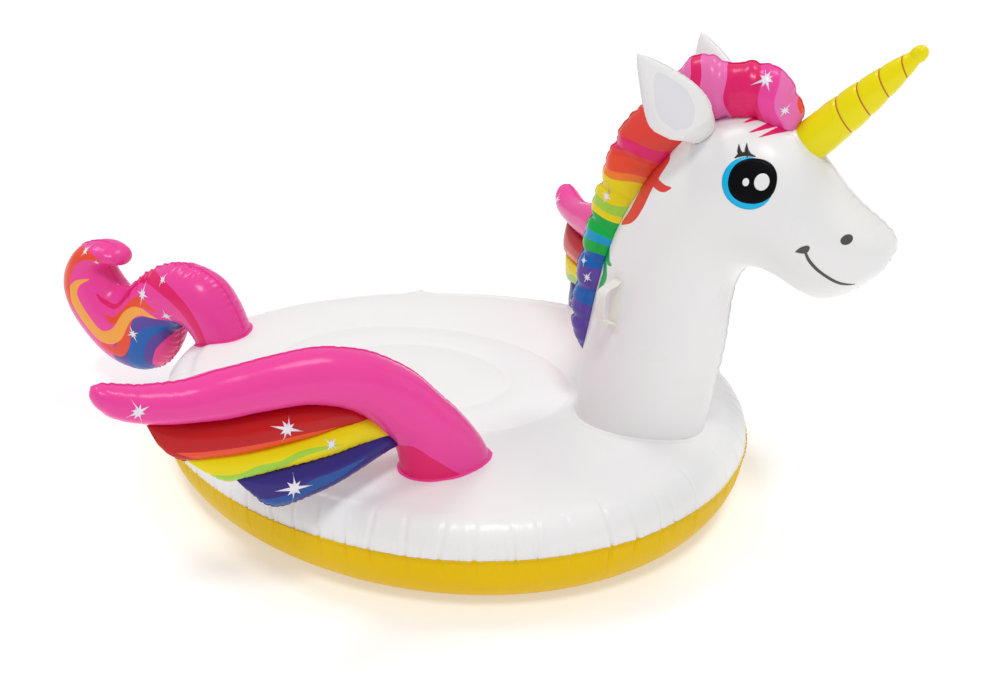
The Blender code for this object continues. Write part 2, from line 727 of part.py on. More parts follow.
def build_horn(head, head_clearance):
    yellow = make_material("horn_yellow", HORN_YELLOW)
    lean = Matrix.Rotation(math.radians(90.0 - HORN_LEAN_DEG), 4, "Y")
    place = Matrix.Translation(Vector(HORN_BASE)) @ lean
    profile = [(0.0, HORN_TIP)] + [(r, z) for z, r in reversed(HORN_PROFILE)]
    profile = profile + [(HORN_PROFILE[0][1], -HORN_ROOT_DEPTH), (0.0, -HORN_ROOT_DEPTH)]
    form = screw_object("horn_form", profile, HORN_SEGMENTS)
    CUTTERS.objects.link(form)
    form.matrix_world = place
    bpy.context.view_layer.update()
    mesh = evaluated_mesh(form)
    mesh.transform(place)
    bpy.data.objects.remove(form)
    envelope = add_cutter("horn_envelope", mesh)
    horn = add_part("horn", mesh.copy(), yellow)
    solidify(horn)
    boolean(horn, head_clearance)
    weld_flange("horn_weld_collar", head, envelope, HORN_COLLAR_WIDTH,
                make_material("collar_white", WHITE))
    return envelope


def build_ears(clearances):
    white = make_material("ear_white", WHITE)
    for side, word in SIDES:
        root = Vector(EAR_ROOT[side])
        rise = Vector(EAR_TIP[side]) - root
        up = rise.normalized()
        across = Vector(EAR_WIDTH_AXIS[side])
        across -= up * across.dot(up)
        plane = Plane(root, across, across.cross(up))
        stations = [(front, high * rise.length, rear, low * rise.length, depth)
                    for front, high, rear, low, depth in EAR_STATIONS]
        ear = add_part(f"ear_{word}", chamber_mesh(
            f"ear_{word}", plane, stations, HAIR_SEGMENTS), white)
        solidify(ear, THIN_WALL)
        for clearance in clearances:
            boolean(ear, clearance)


def wing_plane(side):
    return Plane(WING_ROOT[side], WING_OUT[side], WING_NORMAL[side])


def build_wings(deck, island):
    pink = make_material("wing_pink", PINK)
    feathers = (("red", WING_RED, make_material("feather_red", RED)),
                ("yellow", WING_YELLOW, make_material("feather_yellow", LIME)),
                ("indigo", WING_INDIGO, make_material("feather_indigo", INDIGO)))
    arms = {}
    forms = {}
    for side, word in SIDES:
        plane = wing_plane(side)
        envelope = add_cutter(f"wing_arm_form_{word}", chamber_mesh(
            f"wing_arm_form_{word}", plane, WING_ARM))
        arm = add_part(f"wing_arm_{word}", chamber_mesh(
            f"wing_arm_{word}", plane, WING_ARM), pink)
        solidify(arm)
        boolean(arm, deck)
        arms[word] = arm
        forms[word] = envelope
        clearance = swollen(f"wing_arm_clearance_{word}", envelope, GAP)
        for colour, stations, material in feathers:
            name = f"wing_feather_{colour}_{word}"
            feather = add_part(name, chamber_mesh(
                name, plane, stations, FEATHER_SEGMENTS, open_start=True), material)
            solidify(feather, THIN_WALL)
            boolean(feather, clearance)
            boolean(feather, deck)
        weld_flange(f"wing_base_flange_{word}", island, envelope, LIMB_FLANGE_WIDTH, pink)
    return arms, forms


# ---------------------------------------------------------------- fittings

def surface_frame(host, origin, direction):
    """Where a ray from inside the host leaves its skin, and the frame there: z out, y upwards."""
    tree = BVHTree.FromObject(host, bpy.context.evaluated_depsgraph_get())
    point, normal, _, _ = tree.ray_cast(Vector(origin), Vector(direction))
    x_axis = Vector((0.0, 0.0, 1.0)).cross(normal).normalized()
    y_axis = normal.cross(x_axis)
    frame = Matrix((x_axis, y_axis, normal)).transposed().to_4x4()
    frame.translation = point
    return frame


def frame_empty(name, frame):
    empty = bpy.data.objects.new(name, None)
    CUTTERS.objects.link(empty)
    empty.matrix_world = frame
    return empty


def turned_part(name, profile, parent, material):
    obj = screw_object(name, profile, TURNED_SEGMENTS)
    FLOAT.objects.link(obj)
    obj.data.materials.append(material)
    obj.parent = parent
    return obj


def union_box(obj, name, low, high, parent):
    cutter = add_cutter(name, box_mesh(name, low, high))
    cutter.parent = parent
    boolean(obj, cutter, "UNION")


def build_valve(name, host_skin, frame, scale, material):
    """Flange welded to the skin, a stem that pushes in, and a plug hinged on the stem's lip."""
    place = frame @ Matrix.Translation((0.0, 0.0, GAP))
    axis = frame_empty(f"{name}_axis", place)
    hole = add_cutter(f"{name}_hole", cylinder_mesh(
        f"{name}_hole", VALVE_HOLE_RADIUS * scale, -VALVE_STEM_DEPTH * scale,
        VALVE_HOLE_RADIUS * scale))
    hole.matrix_world = place
    boolean(host_skin, hole)

    flange_radius = VALVE_FLANGE_RADIUS * scale
    boss_radius = VALVE_BOSS_RADIUS * scale
    boss_top = VALVE_BOSS_HEIGHT * scale
    stem_radius = VALVE_STEM_RADIUS * scale
    bore_radius = VALVE_BORE_RADIUS * scale
    lip_radius = VALVE_LIP_RADIUS * scale
    lip_low = boss_top + GAP
    lip_high = lip_low + VALVE_LIP_THICKNESS * scale
    stem_low = -VALVE_STEM_DEPTH * scale
    cap_radius = VALVE_CAP_RADIUS * scale
    chamfer = VALVE_CAP_CHAMFER * scale
    cap_low = lip_high + GAP
    cap_high = cap_low + VALVE_CAP_THICKNESS * scale
    plug_low = cap_low - VALVE_PLUG_DEPTH * scale
    lug_low_x = lip_radius + VALVE_LUG_GAP * scale
    lug_high_x = lug_low_x + VALVE_LUG_THICKNESS * scale
    lug_y = VALVE_LUG_HALF_WIDTH * scale
    strap_y = VALVE_STRAP_HALF_WIDTH * scale
    inset = VALVE_STRAP_INSET * scale

    turned_part(f"{name}_flange", ring_profile((
        (flange_radius, VALVE_FLANGE_EDGE), (flange_radius, 0.0),
        (stem_radius + GAP, 0.0), (stem_radius + GAP, boss_top), (boss_radius, boss_top),
        (VALVE_BOSS_FOOT_RADIUS * scale, VALVE_BOSS_FOOT_HEIGHT * scale))), axis, material)
    stem = turned_part(f"{name}_stem", ring_profile((
        (lip_radius, lip_high), (lip_radius, lip_low), (stem_radius, lip_low),
        (stem_radius, stem_low), (bore_radius, stem_low), (bore_radius, lip_high))),
        axis, material)
    union_box(stem, f"{name}_lug",
              (lip_radius - VALVE_LUG_INSET * scale, -lug_y, lip_low + inset / 2.0),
              (lug_high_x + inset, lug_y, lip_high - inset / 2.0), axis)
    union_box(stem, f"{name}_lug_post",
              (lug_low_x, -lug_y + inset, lip_low + inset),
              (lug_high_x, lug_y - inset, cap_high - chamfer), axis)
    plug = turned_part(f"{name}_plug", (
        (0.0, cap_high), (cap_radius - chamfer, cap_high), (cap_radius, cap_high - chamfer),
        (cap_radius, cap_low), (VALVE_PLUG_TOP_RADIUS * scale, cap_low),
        (VALVE_PLUG_END_RADIUS * scale, plug_low), (0.0, plug_low)), axis, material)
    union_box(plug, f"{name}_strap",
              (cap_radius - 2.0 * chamfer, -strap_y, cap_low + inset),
              (lug_low_x - GAP, strap_y, cap_high - inset), axis)
    frame_empty(f"{name}_hinge", place @ Matrix.Translation(
        (lug_low_x - GAP / 2.0, 0.0, cap_high)))


def build_handles(head):
    cream = make_material("handle_cream", CREAM)
    bearing = math.radians(HANDLE_BEARING_DEG)
    skin = swollen("handle_skin_clearance", head, GAP)
    pad_top = swollen("handle_pad_top", head, GAP + HANDLE_PAD_THICKNESS)
    pad_clearance = swollen("handle_pad_clearance", head, 2.0 * GAP + HANDLE_PAD_THICKNESS)
    for side, word in SIDES:
        frame = surface_frame(head, HANDLE_INSIDE,
                              (math.cos(bearing), side * math.sin(bearing), 0.0))
        name = f"handle_pad_{word}"
        pad = add_part(name, rounded_prism(name, HANDLE_PAD, HANDLE_PAD_CORNER,
                                           -HANDLE_PAD_REACH, HANDLE_PAD_REACH), cream)
        pad.matrix_world = frame
        boolean(pad, pad_top, "INTERSECT")
        boolean(pad, skin)
        name = f"handle_strap_{word}"
        strap = add_part(name, band_mesh(name, HANDLE_STRAP, HANDLE_STRAP_WIDTH,
                                         HANDLE_STRAP_THICKNESS), cream)
        strap.matrix_world = frame
        boolean(strap, pad_clearance)
        frame_empty(f"handle_{word}_frame", frame)


# ---------------------------------------------------------------- run

island_top, island_bottom, island_form = build_island()
beyond_centre = {1: half_space(1), -1: half_space(-1)}
head_form, deck_clearance, head_panels = build_neck_and_head(island_form, beyond_centre)
head_clearance = swollen("head_clearance", head_form, GAP)
tail_form, tail_panels = build_tail(deck_clearance, island_form, beyond_centre)
horn_form = build_horn(head_form, head_clearance)
mane_clearance, forelock_clearance = build_hair(head_clearance, horn_form)
build_ears((head_clearance, mane_clearance, forelock_clearance))
wing_arms, wing_forms = build_wings(deck_clearance, island_form)
build_handles(head_form)

valve_material = make_material("valve_clear", CLEAR)
build_valve("main_valve", island_top,
            surface_frame(island_form, MAIN_VALVE_INSIDE, MAIN_VALVE_DIRECTION),
            MAIN_VALVE_SCALE, valve_material)
build_valve("neck_valve", head_panels["left"],
            surface_frame(head_form, NECK_VALVE_INSIDE, NECK_VALVE_DIRECTION),
            1.0, valve_material)
build_valve("tail_valve", tail_panels["left"],
            surface_frame(tail_form, TAIL_VALVE_INSIDE, TAIL_VALVE_DIRECTION),
            1.0, valve_material)
for wing_side, wing_word in SIDES:
    wing = wing_plane(wing_side)
    build_valve(f"wing_valve_{wing_word}", wing_arms[wing_word],
                surface_frame(wing_forms[wing_word], wing.point(WING_VALVE_U, WING_VALVE_V),
                              -wing.normal),
                1.0, valve_material)
bpy.context.view_layer.update()
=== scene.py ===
"""Looks of the ride-on inflatable float: glossy printed vinyl chambers around the CAD frame.

Frame: +X towards the head, +Y to the float's left, +Z up, metres, as in the CAD.  Every chamber
is skinned again from much the same stations as its CAD solid, finely enough to carry the
puckers that its welds pull into the vinyl.  Prints are drawn two ways: bands, strands and
patches are fields stored on the skin's points and cut sharp by its material, and small figures
are thin films on the skin.
"""
import json
import math
import random

import bmesh
import bpy
import numpy as np
from mathutils import Matrix, Vector
from mathutils.bvhtree import BVHTree


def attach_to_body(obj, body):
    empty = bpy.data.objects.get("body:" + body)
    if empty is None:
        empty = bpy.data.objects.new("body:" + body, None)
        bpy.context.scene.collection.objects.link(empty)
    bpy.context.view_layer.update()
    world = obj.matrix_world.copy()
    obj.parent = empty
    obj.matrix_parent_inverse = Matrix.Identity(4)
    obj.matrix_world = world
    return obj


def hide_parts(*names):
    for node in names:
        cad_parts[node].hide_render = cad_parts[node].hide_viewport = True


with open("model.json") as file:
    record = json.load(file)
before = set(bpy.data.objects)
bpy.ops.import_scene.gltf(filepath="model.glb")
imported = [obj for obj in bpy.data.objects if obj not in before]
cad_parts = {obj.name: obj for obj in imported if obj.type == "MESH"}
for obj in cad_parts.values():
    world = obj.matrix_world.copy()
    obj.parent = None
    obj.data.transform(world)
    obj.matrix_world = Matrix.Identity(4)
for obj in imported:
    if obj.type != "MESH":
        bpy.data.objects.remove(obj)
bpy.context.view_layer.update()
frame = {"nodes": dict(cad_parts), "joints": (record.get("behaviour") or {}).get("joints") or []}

# ---------------------------------------------------------------- the float's sizes, as in the CAD
FLOAT_BODY = "float_body"
SIDES = ((1, "left"), (-1, "right"))
UP = (0.0, 0.0, 1.0)
SKIN_GAP = 0.0006

RING_HALF_LENGTH = 1.0
RING_HALF_WIDTH = 0.845
RING_EGG = 0.10
SEAM_Z = 0.188
SEAM_HALF_GAP = 0.0015
SEAM_LIP = ((-0.003, -0.0012), (0.0036, -0.0011), (0.0044, 0.0), (0.0036, 0.0011),
            (-0.003, 0.0012))
SHOULDER_INSET = 0.100
SHOULDER_Z = 0.300
BILGE_INSET = 0.147
SEAT_CENTRE_X = -0.09
SEAT_HALF_LENGTH = 0.527
SEAT_HALF_WIDTH = 0.385
SEAT_EDGE_Z = 0.296
DECK_CROWN = ((0.35, 0.316), (0.52, 0.321), (0.72, 0.317), (0.90, 0.306), (1.0, SEAT_EDGE_Z))
SEAT_CROWN = ((1.0, SEAT_EDGE_Z), (0.93, 0.304), (0.78, 0.309), (0.66, 0.304), (0.60, 0.297),
              (0.54, 0.304), (0.32, 0.311), (0.0, 0.312))

# Strong and faint creases at the island's seam: (start, spacing, depth, width, reach); they end
# a little before the lap does
RING_CREASES = ((0.02, 0.085, 0.0085, 0.0062, 0.19), (0.04, 0.047, 0.0036, 0.0048, 0.11))
RING_CREASE_END = 0.03

# Chambers on the centre plane: (upper or rear edge x, z, lower or front edge x, z, half width)
NECK_AND_HEAD = (
    (0.480, 0.210, 0.885, 0.170, 0.172), (0.486, 0.300, 0.885, 0.270, 0.172),
    (0.494, 0.440, 0.910, 0.430, 0.171), (0.520, 0.610, 0.930, 0.590, 0.170),
    (0.556, 0.790, 0.942, 0.730, 0.170), (0.612, 0.955, 0.956, 0.805, 0.172),
    (0.700, 1.105, 0.985, 0.850, 0.176), (0.825, 1.235, 1.028, 0.858, 0.180),
    (0.960, 1.288, 1.082, 0.838, 0.180), (1.085, 1.256, 1.135, 0.807, 0.168),
    (1.174, 1.166, 1.193, 0.790, 0.148), (1.248, 1.086, 1.250, 0.808, 0.128),
    (1.320, 1.030, 1.300, 0.846, 0.104), (1.357, 0.998, 1.343, 0.889, 0.074),
    (1.372, 0.970, 1.364, 0.930, 0.036), (1.375, 0.950, 1.375, 0.950, 0.0),
)
TAIL = (
    (-0.772, 0.200, -0.955, 0.190, 0.105), (-0.780, 0.330, -0.968, 0.275, 0.108),
    (-0.825, 0.440, -0.998, 0.318, 0.110), (-0.888, 0.518, -1.028, 0.330, 0.112),
    (-0.985, 0.552, -1.050, 0.320, 0.113), (-1.085, 0.545, -1.065, 0.285, 0.114),
    (-1.175, 0.505, -1.085, 0.215, 0.115), (-1.240, 0.455, -1.145, 0.145, 0.116),
    (-1.285, 0.425, -1.240, 0.105, 0.116), (-1.320, 0.430, -1.345, 0.118, 0.115),
    (-1.342, 0.455, -1.440, 0.175, 0.112), (-1.356, 0.480, -1.525, 0.275, 0.108),
    (-1.362, 0.495, -1.562, 0.385, 0.103), (-1.358, 0.505, -1.545, 0.480, 0.097),
    (-1.345, 0.512, -1.480, 0.560, 0.090), (-1.325, 0.515, -1.390, 0.592, 0.080),
    (-1.300, 0.514, -1.315, 0.580, 0.062), (-1.282, 0.518, -1.282, 0.555, 0.036),
    (-1.276, 0.535, -1.276, 0.535, 0.0),
)
MANE = (
    (0.700, 1.300, 0.790, 1.205, 0.020), (0.655, 1.280, 0.790, 1.180, 0.052),
    (0.600, 1.215, 0.770, 1.130, 0.064), (0.568, 1.150, 0.735, 1.070, 0.060),
    (0.548, 1.080, 0.705, 1.010, 0.066), (0.522, 1.000, 0.672, 0.945, 0.060),
    (0.505, 0.930, 0.645, 0.880, 0.065), (0.488, 0.845, 0.622, 0.815, 0.058),
    (0.474, 0.770, 0.600, 0.745, 0.062), (0.464, 0.690, 0.585, 0.680, 0.054),
    (0.458, 0.620, 0.572, 0.615, 0.052), (0.470, 0.555, 0.560, 0.555, 0.036),
    (0.492, 0.505, 0.545, 0.510, 0.012), (0.510, 0.490, 0.510, 0.490, 0.0),
)
FORELOCK = (
    (0.735, 1.330, 0.760, 1.255, 0.030), (0.748, 1.382, 0.795, 1.235, 0.058),
    (0.790, 1.422, 0.835, 1.250, 0.068), (0.850, 1.428, 0.880, 1.260, 0.066),
    (0.905, 1.412, 0.925, 1.262, 0.064), (0.965, 1.424, 0.970, 1.262, 0.070),
    (1.030, 1.404, 1.005, 1.250, 0.070), (1.078, 1.350, 1.030, 1.235, 0.062),
    (1.097, 1.300, 1.055, 1.222, 0.044), (1.090, 1.262, 1.068, 1.215, 0.018),
    (1.080, 1.235, 1.080, 1.235, 0.0),
)
HORN_BASE = (1.100, 0.0, 1.200)
HORN_LEAN_DEG = 45.5
HORN_RADIUS = 0.056
HORN_PROFILE = ((-0.050, HORN_RADIUS), (0.000, HORN_RADIUS), (0.060, HORN_RADIUS),
                (0.120, 0.053), (0.190, 0.048), (0.250, 0.041), (0.305, 0.033), (0.345, 0.025),
                (0.365, 0.0195), (0.378, 0.0215), (0.394, 0.0175), (0.402, 0.009), (0.404, 0.0))
# The horn's printed line: its pitch, where along the horn it starts and ends, and half its width
# in radians of turn
HORN_PITCH = 0.0635
HORN_FIRST_LINE = 0.161
HORN_LAST_LINE = 0.352
HORN_LINE_TURN = 0.20
HORN_SWELL = 0.0016
HORN_NOTCH = 0.0024
HORN_NOTCH_WIDTH = 0.0050

# Ears and wings lie in planes of their own, keyed by side (+1 is left)
EAR_ROOT = {1: (0.838, 0.128, 1.225), -1: (0.838, -0.128, 1.225)}
EAR_TIP = {1: (0.748, 0.216, 1.452), -1: (0.703, -0.224, 1.470)}
EAR_WIDTH_AXIS = {1: (0.92, -0.38, 0.0), -1: (0.92, 0.38, 0.0)}
# Heights of the ears' stations are shares of the ear's length.  Below EAR_BEND the skin turns
# inwards, as far as EAR_ROOT_DEPTH into the head.
EAR_STATIONS = (
    (0.040, -0.15, -0.002, -0.15, 0.020), (0.066, 0.00, -0.020, 0.02, 0.032),
    (0.081, 0.12, -0.048, 0.14, 0.042), (0.088, 0.31, -0.070, 0.33, 0.042),
    (0.076, 0.53, -0.056, 0.55, 0.033), (0.048, 0.73, -0.034, 0.75, 0.022),
    (0.018, 0.90, -0.012, 0.91, 0.010), (0.000, 1.00, 0.000, 1.00, 0.0),
)
EAR_BEND = 0.045
EAR_ROOT_DEPTH = 0.150
WING_ROOT = {1: (0.530, 0.360, 0.313), -1: (0.269, -0.515, 0.313)}
WING_OUT = {1: (-0.673, 0.717, -0.181), -1: (-0.487, -0.873, 0.0)}
WING_NORMAL = {1: (0.722, 0.585, -0.370), -1: (0.868, -0.484, 0.107)}
WING_ARM = (
    (-0.140, -0.120, 0.140, -0.120, 0.100), (-0.140, 0.000, 0.138, 0.020, 0.100),
    (-0.078, 0.120, 0.152, 0.100, 0.098), (0.006, 0.222, 0.195, 0.158, 0.094),
    (0.094, 0.316, 0.255, 0.222, 0.090), (0.200, 0.392, 0.330, 0.272, 0.086),
    (0.312, 0.436, 0.408, 0.303, 0.082), (0.415, 0.456, 0.480, 0.318, 0.078),
    (0.528, 0.464, 0.562, 0.326, 0.074), (0.643, 0.466, 0.660, 0.338, 0.070),
    (0.745, 0.464, 0.765, 0.360, 0.066), (0.845, 0.480, 0.868, 0.386, 0.060),
    (0.925, 0.505, 0.940, 0.422, 0.050), (0.968, 0.515, 0.975, 0.462, 0.030),
    (0.985, 0.492, 0.985, 0.492, 0.0),
)
FEATHERS = {
    "red": (
        (0.226, 0.200, 0.232, 0.186, 0.006), (0.300, 0.256, 0.325, 0.208, 0.024),
        (0.400, 0.294, 0.420, 0.212, 0.034), (0.500, 0.312, 0.520, 0.218, 0.038),
        (0.610, 0.324, 0.620, 0.228, 0.038), (0.710, 0.340, 0.705, 0.242, 0.034),
        (0.790, 0.358, 0.770, 0.256, 0.026), (0.838, 0.368, 0.812, 0.282, 0.014),
        (0.858, 0.372, 0.836, 0.318, 0.004)),
    "yellow": (
        (0.172, 0.144, 0.178, 0.132, 0.006), (0.240, 0.206, 0.258, 0.142, 0.022),
        (0.330, 0.2148, 0.345, 0.142, 0.030), (0.425, 0.2108, 0.435, 0.146, 0.034),
        (0.520, 0.2166, 0.525, 0.152, 0.034), (0.615, 0.2260, 0.605, 0.158, 0.030),
        (0.700, 0.2400, 0.672, 0.166, 0.022), (0.765, 0.2540, 0.722, 0.202, 0.010),
        (0.778, 0.2560, 0.750, 0.230, 0.004)),
    "indigo": (
        (0.150, 0.104, 0.152, 0.100, 0.004), (0.190, 0.1400, 0.202, 0.094, 0.020),
        (0.270, 0.1420, 0.282, 0.072, 0.030), (0.350, 0.1405, 0.362, 0.054, 0.034),
        (0.440, 0.1445, 0.450, 0.046, 0.034), (0.520, 0.1500, 0.528, 0.046, 0.030),
        (0.590, 0.1555, 0.578, 0.070, 0.020), (0.640, 0.1585, 0.612, 0.110, 0.008),
        (0.650, 0.1590, 0.632, 0.138, 0.004)),
}
# How far the upper edges of the feathers are tucked up against what they hang from
FEATHER_TUCK = 0.007
# The handles sit where a ray from inside the neck, on this bearing, meets its skin
HANDLE_INSIDE = (0.72, 0.0, 0.735)
HANDLE_BEARING_DEG = 117.0

# ---------------------------------------------------------------- how finely things are made
RING_SEGMENTS = 1600
SKIN_SPACING = 0.0065
SPAN_SAMPLES = 24
PRINT_EDGE = 0.0006
FILM_THICKNESS = 0.0002
# How far printed films stand off the skin, so that the upper ones cover the lower ones
BASE_FILM = 0.0003
LINE_FILM = 0.0004
MIDDLE_FILM = 0.0006
TOP_FILM = 0.0010
FACING_STEP = 97

# The two edges of a chamber's section, as half turns round it
UPPER = 0
LOWER = 1

# Colours, linear
WHITE = (0.875, 0.868, 0.862)
CREAM = (0.845, 0.825, 0.77)
SUN_YELLOW = (0.82, 0.53, 0.0)
HORN_YELLOW = (0.88, 0.76, 0.0)
HOT_PINK = (0.878, 0.062, 0.346)
LIGHT_PINK = (0.86, 0.17, 0.47)
CRIMSON = (0.80, 0.015, 0.15)
RED = (0.54, 0.006, 0.008)
SCARLET = (0.86, 0.075, 0.03)
ORANGE = (0.93, 0.22, 0.03)
AMBER = (0.95, 0.40, 0.06)
YELLOW = (0.84, 0.68, 0.0)
LIME = (0.37, 0.66, 0.05)
GREEN = (0.002, 0.429, 0.06)
CYAN = (0.0, 0.33, 0.62)
BLUE = (0.01, 0.12, 0.46)
VIOLET = (0.11, 0.06, 0.36)
INDIGO = (0.035, 0.022, 0.20)
DEEP_BLUE = (0.016, 0.085, 0.34)
BRIGHT_RED = (0.78, 0.060, 0.045)
LASH = (0.03, 0.03, 0.032)
EYE_BLUE = (0.0, 0.499, 0.87)
EYE_BLACK = (0.004, 0.004, 0.005)
PRINT_GREY = (0.09, 0.085, 0.08)
HORN_LINE = (0.55, 0.16, 0.02)
EAR_LILAC = (0.80, 0.79, 0.825)
STAR_WHITE = (0.86, 0.82, 0.90)
VALVE_CLEAR = (0.80, 0.84, 0.86)

rng = random.Random(7)


def valve_frames():
    """Where each valve sits: the middle of its flange's back, the way out, and its radius."""
    found = {}
    for joint in frame["joints"]:
        if joint["type"] != "slide":
            continue
        name = joint["name"].replace("_stem_slide", "")
        axis = np.array(joint["axis"], float)
        axis /= np.linalg.norm(axis)
        corners = np.array([v.co for v in frame["nodes"][f"{name}_flange"].data.vertices])
        height = corners @ axis
        origin = corners.mean(axis=0)
        origin += axis * (height.min() - origin @ axis)
        spread = corners - origin
        spread -= np.outer(spread @ axis, axis)
        found[name] = (origin, axis, float(np.linalg.norm(spread, axis=1).max()))
    return found


VALVES = valve_frames()


# ---------------------------------------------------------------- curves and planes

def catmull(points, count_per_span):
    """Catmull-Rom samples through the rows of points."""
    p = np.asarray(points, float)
    padded = np.vstack([2.0 * p[0] - p[1], p, 2.0 * p[-1] - p[-2]])
    t = (np.arange(count_per_span) / count_per_span)[:, None]
    spans = []
    for i in range(len(p) - 1):
        p0, p1, p2, p3 = padded[i:i + 4]
        spans.append(0.5 * (2.0 * p1 + (p2 - p0) * t + (2.0 * p0 - 5.0 * p1 + 4.0 * p2 - p3) * t ** 2
                            + (3.0 * p1 - p0 - 3.0 * p2 + p3) * t ** 3))
    return np.vstack(spans + [p[-1:]])


def running_length(points):
    """Length along the rows of points, from 0."""
    steps = np.linalg.norm(np.diff(points, axis=0), axis=-1)
    return np.concatenate([np.zeros((1,) + steps.shape[1:]), np.cumsum(steps, axis=0)])


def even(samples, spacing, measure):
    """Resample rows to an even spacing of the length that measure(rows) runs along."""
    length = running_length(measure(samples))
    count = max(8, int(round(length[-1] / spacing)))
    wanted = np.linspace(0.0, length[-1], count + 1)
    return np.stack([np.interp(wanted, length, column) for column in samples.T], axis=1)


class Plane:
    """A drawing plane: (u, v) in it, and w along its normal."""

    def __init__(self, origin, u_axis, normal):
        self.origin = np.array(origin, float)
        self.normal = np.array(normal, float) / np.linalg.norm(normal)
        u_axis = np.array(u_axis, float)
        u_axis = u_axis - self.normal * u_axis.dot(self.normal)
        self.u_axis = u_axis / np.linalg.norm(u_axis)
        self.v_axis = np.cross(self.normal, self.u_axis)
        if self.v_axis[2] < 0.0:
            self.v_axis = -self.v_axis

    def points(self, u, v, w):
        u, v, w = (np.asarray(value, float)[..., None] for value in (u, v, w))
        return self.origin + u * self.u_axis + v * self.v_axis + w * self.normal


CENTRE_PLANE = Plane((0.0, 0.0, 0.0), (1.0, 0.0, 0.0), (0.0, 1.0, 0.0))
WING_PLANE = {side: Plane(WING_ROOT[side], WING_OUT[side], WING_NORMAL[side]) for side, _ in SIDES}


def ear_plane(side):
    root = np.array(EAR_ROOT[side])
    rise = np.array(EAR_TIP[side]) - root
    length = np.linalg.norm(rise)
    up = rise / length
    across = np.array(EAR_WIDTH_AXIS[side])
    across = across - up * across.dot(up)
    return Plane(root, across, np.cross(across, up)), length


# ---------------------------------------------------------------- skins

class Skin:
    """A grid of points, rows along and columns around, that can be pushed along its normals."""

    def __init__(self, points, closed, centres=None):
        self.points = points
        self.closed = closed
        self.centres = centres
        self.fields = {}

    def normals(self):
        p = self.points
        along = np.gradient(p, axis=0)
        if self.closed:
            around = np.roll(p, -1, axis=1) - np.roll(p, 1, axis=1)
        else:
            around = np.gradient(p, axis=1)
        normal = np.cross(along, around)
        length = np.linalg.norm(normal, axis=2, keepdims=True)
        normal = normal / np.maximum(length, 1e-12)
        if self.centres is not None:
            outward = p - self.centres
            if (normal * outward).sum() < 0.0:
                normal = -normal
        return normal

    def push(self, distance):
        self.points = self.points + self.normals() * distance[..., None]

    def column(self, edge):
        """The column that runs along an edge, UPPER or LOWER."""
        return edge * self.points.shape[1] // 2


def chamber_skin(plane, stations, around, spacing=SKIN_SPACING):
    """An inflated tube of oval sections; column 0 is the upper edge, half way round the lower."""
    dense = catmull(stations, SPAN_SAMPLES)
    dense[:, 4] = np.maximum(dense[:, 4], 0.0)

    def longest_edge(rows):
        return 0.5 * (rows[:, 0:2] + rows[:, 2:4]) + 0.35 * (rows[:, 0:2] - rows[:, 2:4])

    rows = even(dense, spacing, longest_edge)
    angles = 2.0 * math.pi * np.arange(around) / around
    middle = 0.5 * (rows[:, 0:2] + rows[:, 2:4])
    reach = 0.5 * (rows[:, 0:2] - rows[:, 2:4])
    flat = middle[:, None, :] + reach[:, None, :] * np.cos(angles)[None, :, None]
    depth = rows[:, 4][:, None] * np.sin(angles)[None, :]
    centres = plane.points(middle[:, 0], middle[:, 1], np.zeros(len(rows)))[:, None, :]
    skin = Skin(plane.points(flat[..., 0], flat[..., 1], depth), True, centres)
    skin.rows = rows
    skin.plane = plane
    share = np.linspace(0.0, 1.0, len(rows))
    skin.fields["along"] = np.repeat(share[:, None], around, axis=1)
    skin.flat = flat
    skin.depth = depth
    return skin


def edge_lengths(skin, column):
    """Length along one column, and for every point the distance round from that column."""
    along = running_length(skin.points[:, column])
    rolled = np.roll(skin.points, -column, axis=1)
    step = np.linalg.norm(rolled - np.roll(rolled, 1, axis=1), axis=2)
    forward = np.cumsum(step, axis=1) - step[:, :1]
    total = step.sum(axis=1, keepdims=True)
    distance = np.minimum(forward, total - forward)
    distance[:, 0] = 0.0
    return along, np.roll(distance, column, axis=1)


def creases(along, distance, spots):
    """Sum of creases square to an edge.  A spot is (place, depth, half width, reach, slant)."""
    total = np.zeros_like(distance)
    for place, depth, width, reach, slant in spots:
        near = np.abs(along - place) < 5.0 * width + reach * abs(slant)
        if not near.any():
            continue
        away = distance[near]
        spread = width * (1.0 + 0.7 * away / reach)
        across = (along[near][:, None] - place - slant * away) / spread
        profile = np.exp(-across ** 2) - 0.50 * np.exp(-(across / 2.2) ** 2)
        fade = np.clip(1.0 - away / reach, 0.0, 1.0) ** 1.4
        total[near] -= depth * profile * fade
    return total


def spots_along(start, end, spacing, depth, width, reach):
    """Unevenly spaced creases between two places along an edge."""
    scatter = 0.35
    spots = []
    place = start
    while place < end:
        spots.append((place, depth * rng.uniform(1.0 - scatter, 1.0 + scatter),
                      width * rng.uniform(0.8, 1.3), reach * rng.uniform(0.55, 1.25),
                      rng.uniform(-0.18, 0.18)))
        place += spacing * rng.uniform(1.0 - scatter, 1.0 + scatter)
    return spots


def pucker(skin, edge, start, end, spacing, depth, width, reach):
    """Creases along one edge of a chamber, between two shares of its length."""
    along, distance = edge_lengths(skin, skin.column(edge))
    length = along[-1]
    spots = spots_along(start * length, end * length, spacing, depth, width, reach)
    skin.push(creases(along, distance, spots))


# Round a valve the skin is pressed flat, a little below its flange, and eases back from the
# first to the second of these radii; the radii are shares of the flange's
VALVE_EASE = (1.2, 2.6)
VALVE_HOLE = 0.64
VALVE_SINK = 0.0004
VALVE_REACH = 0.06


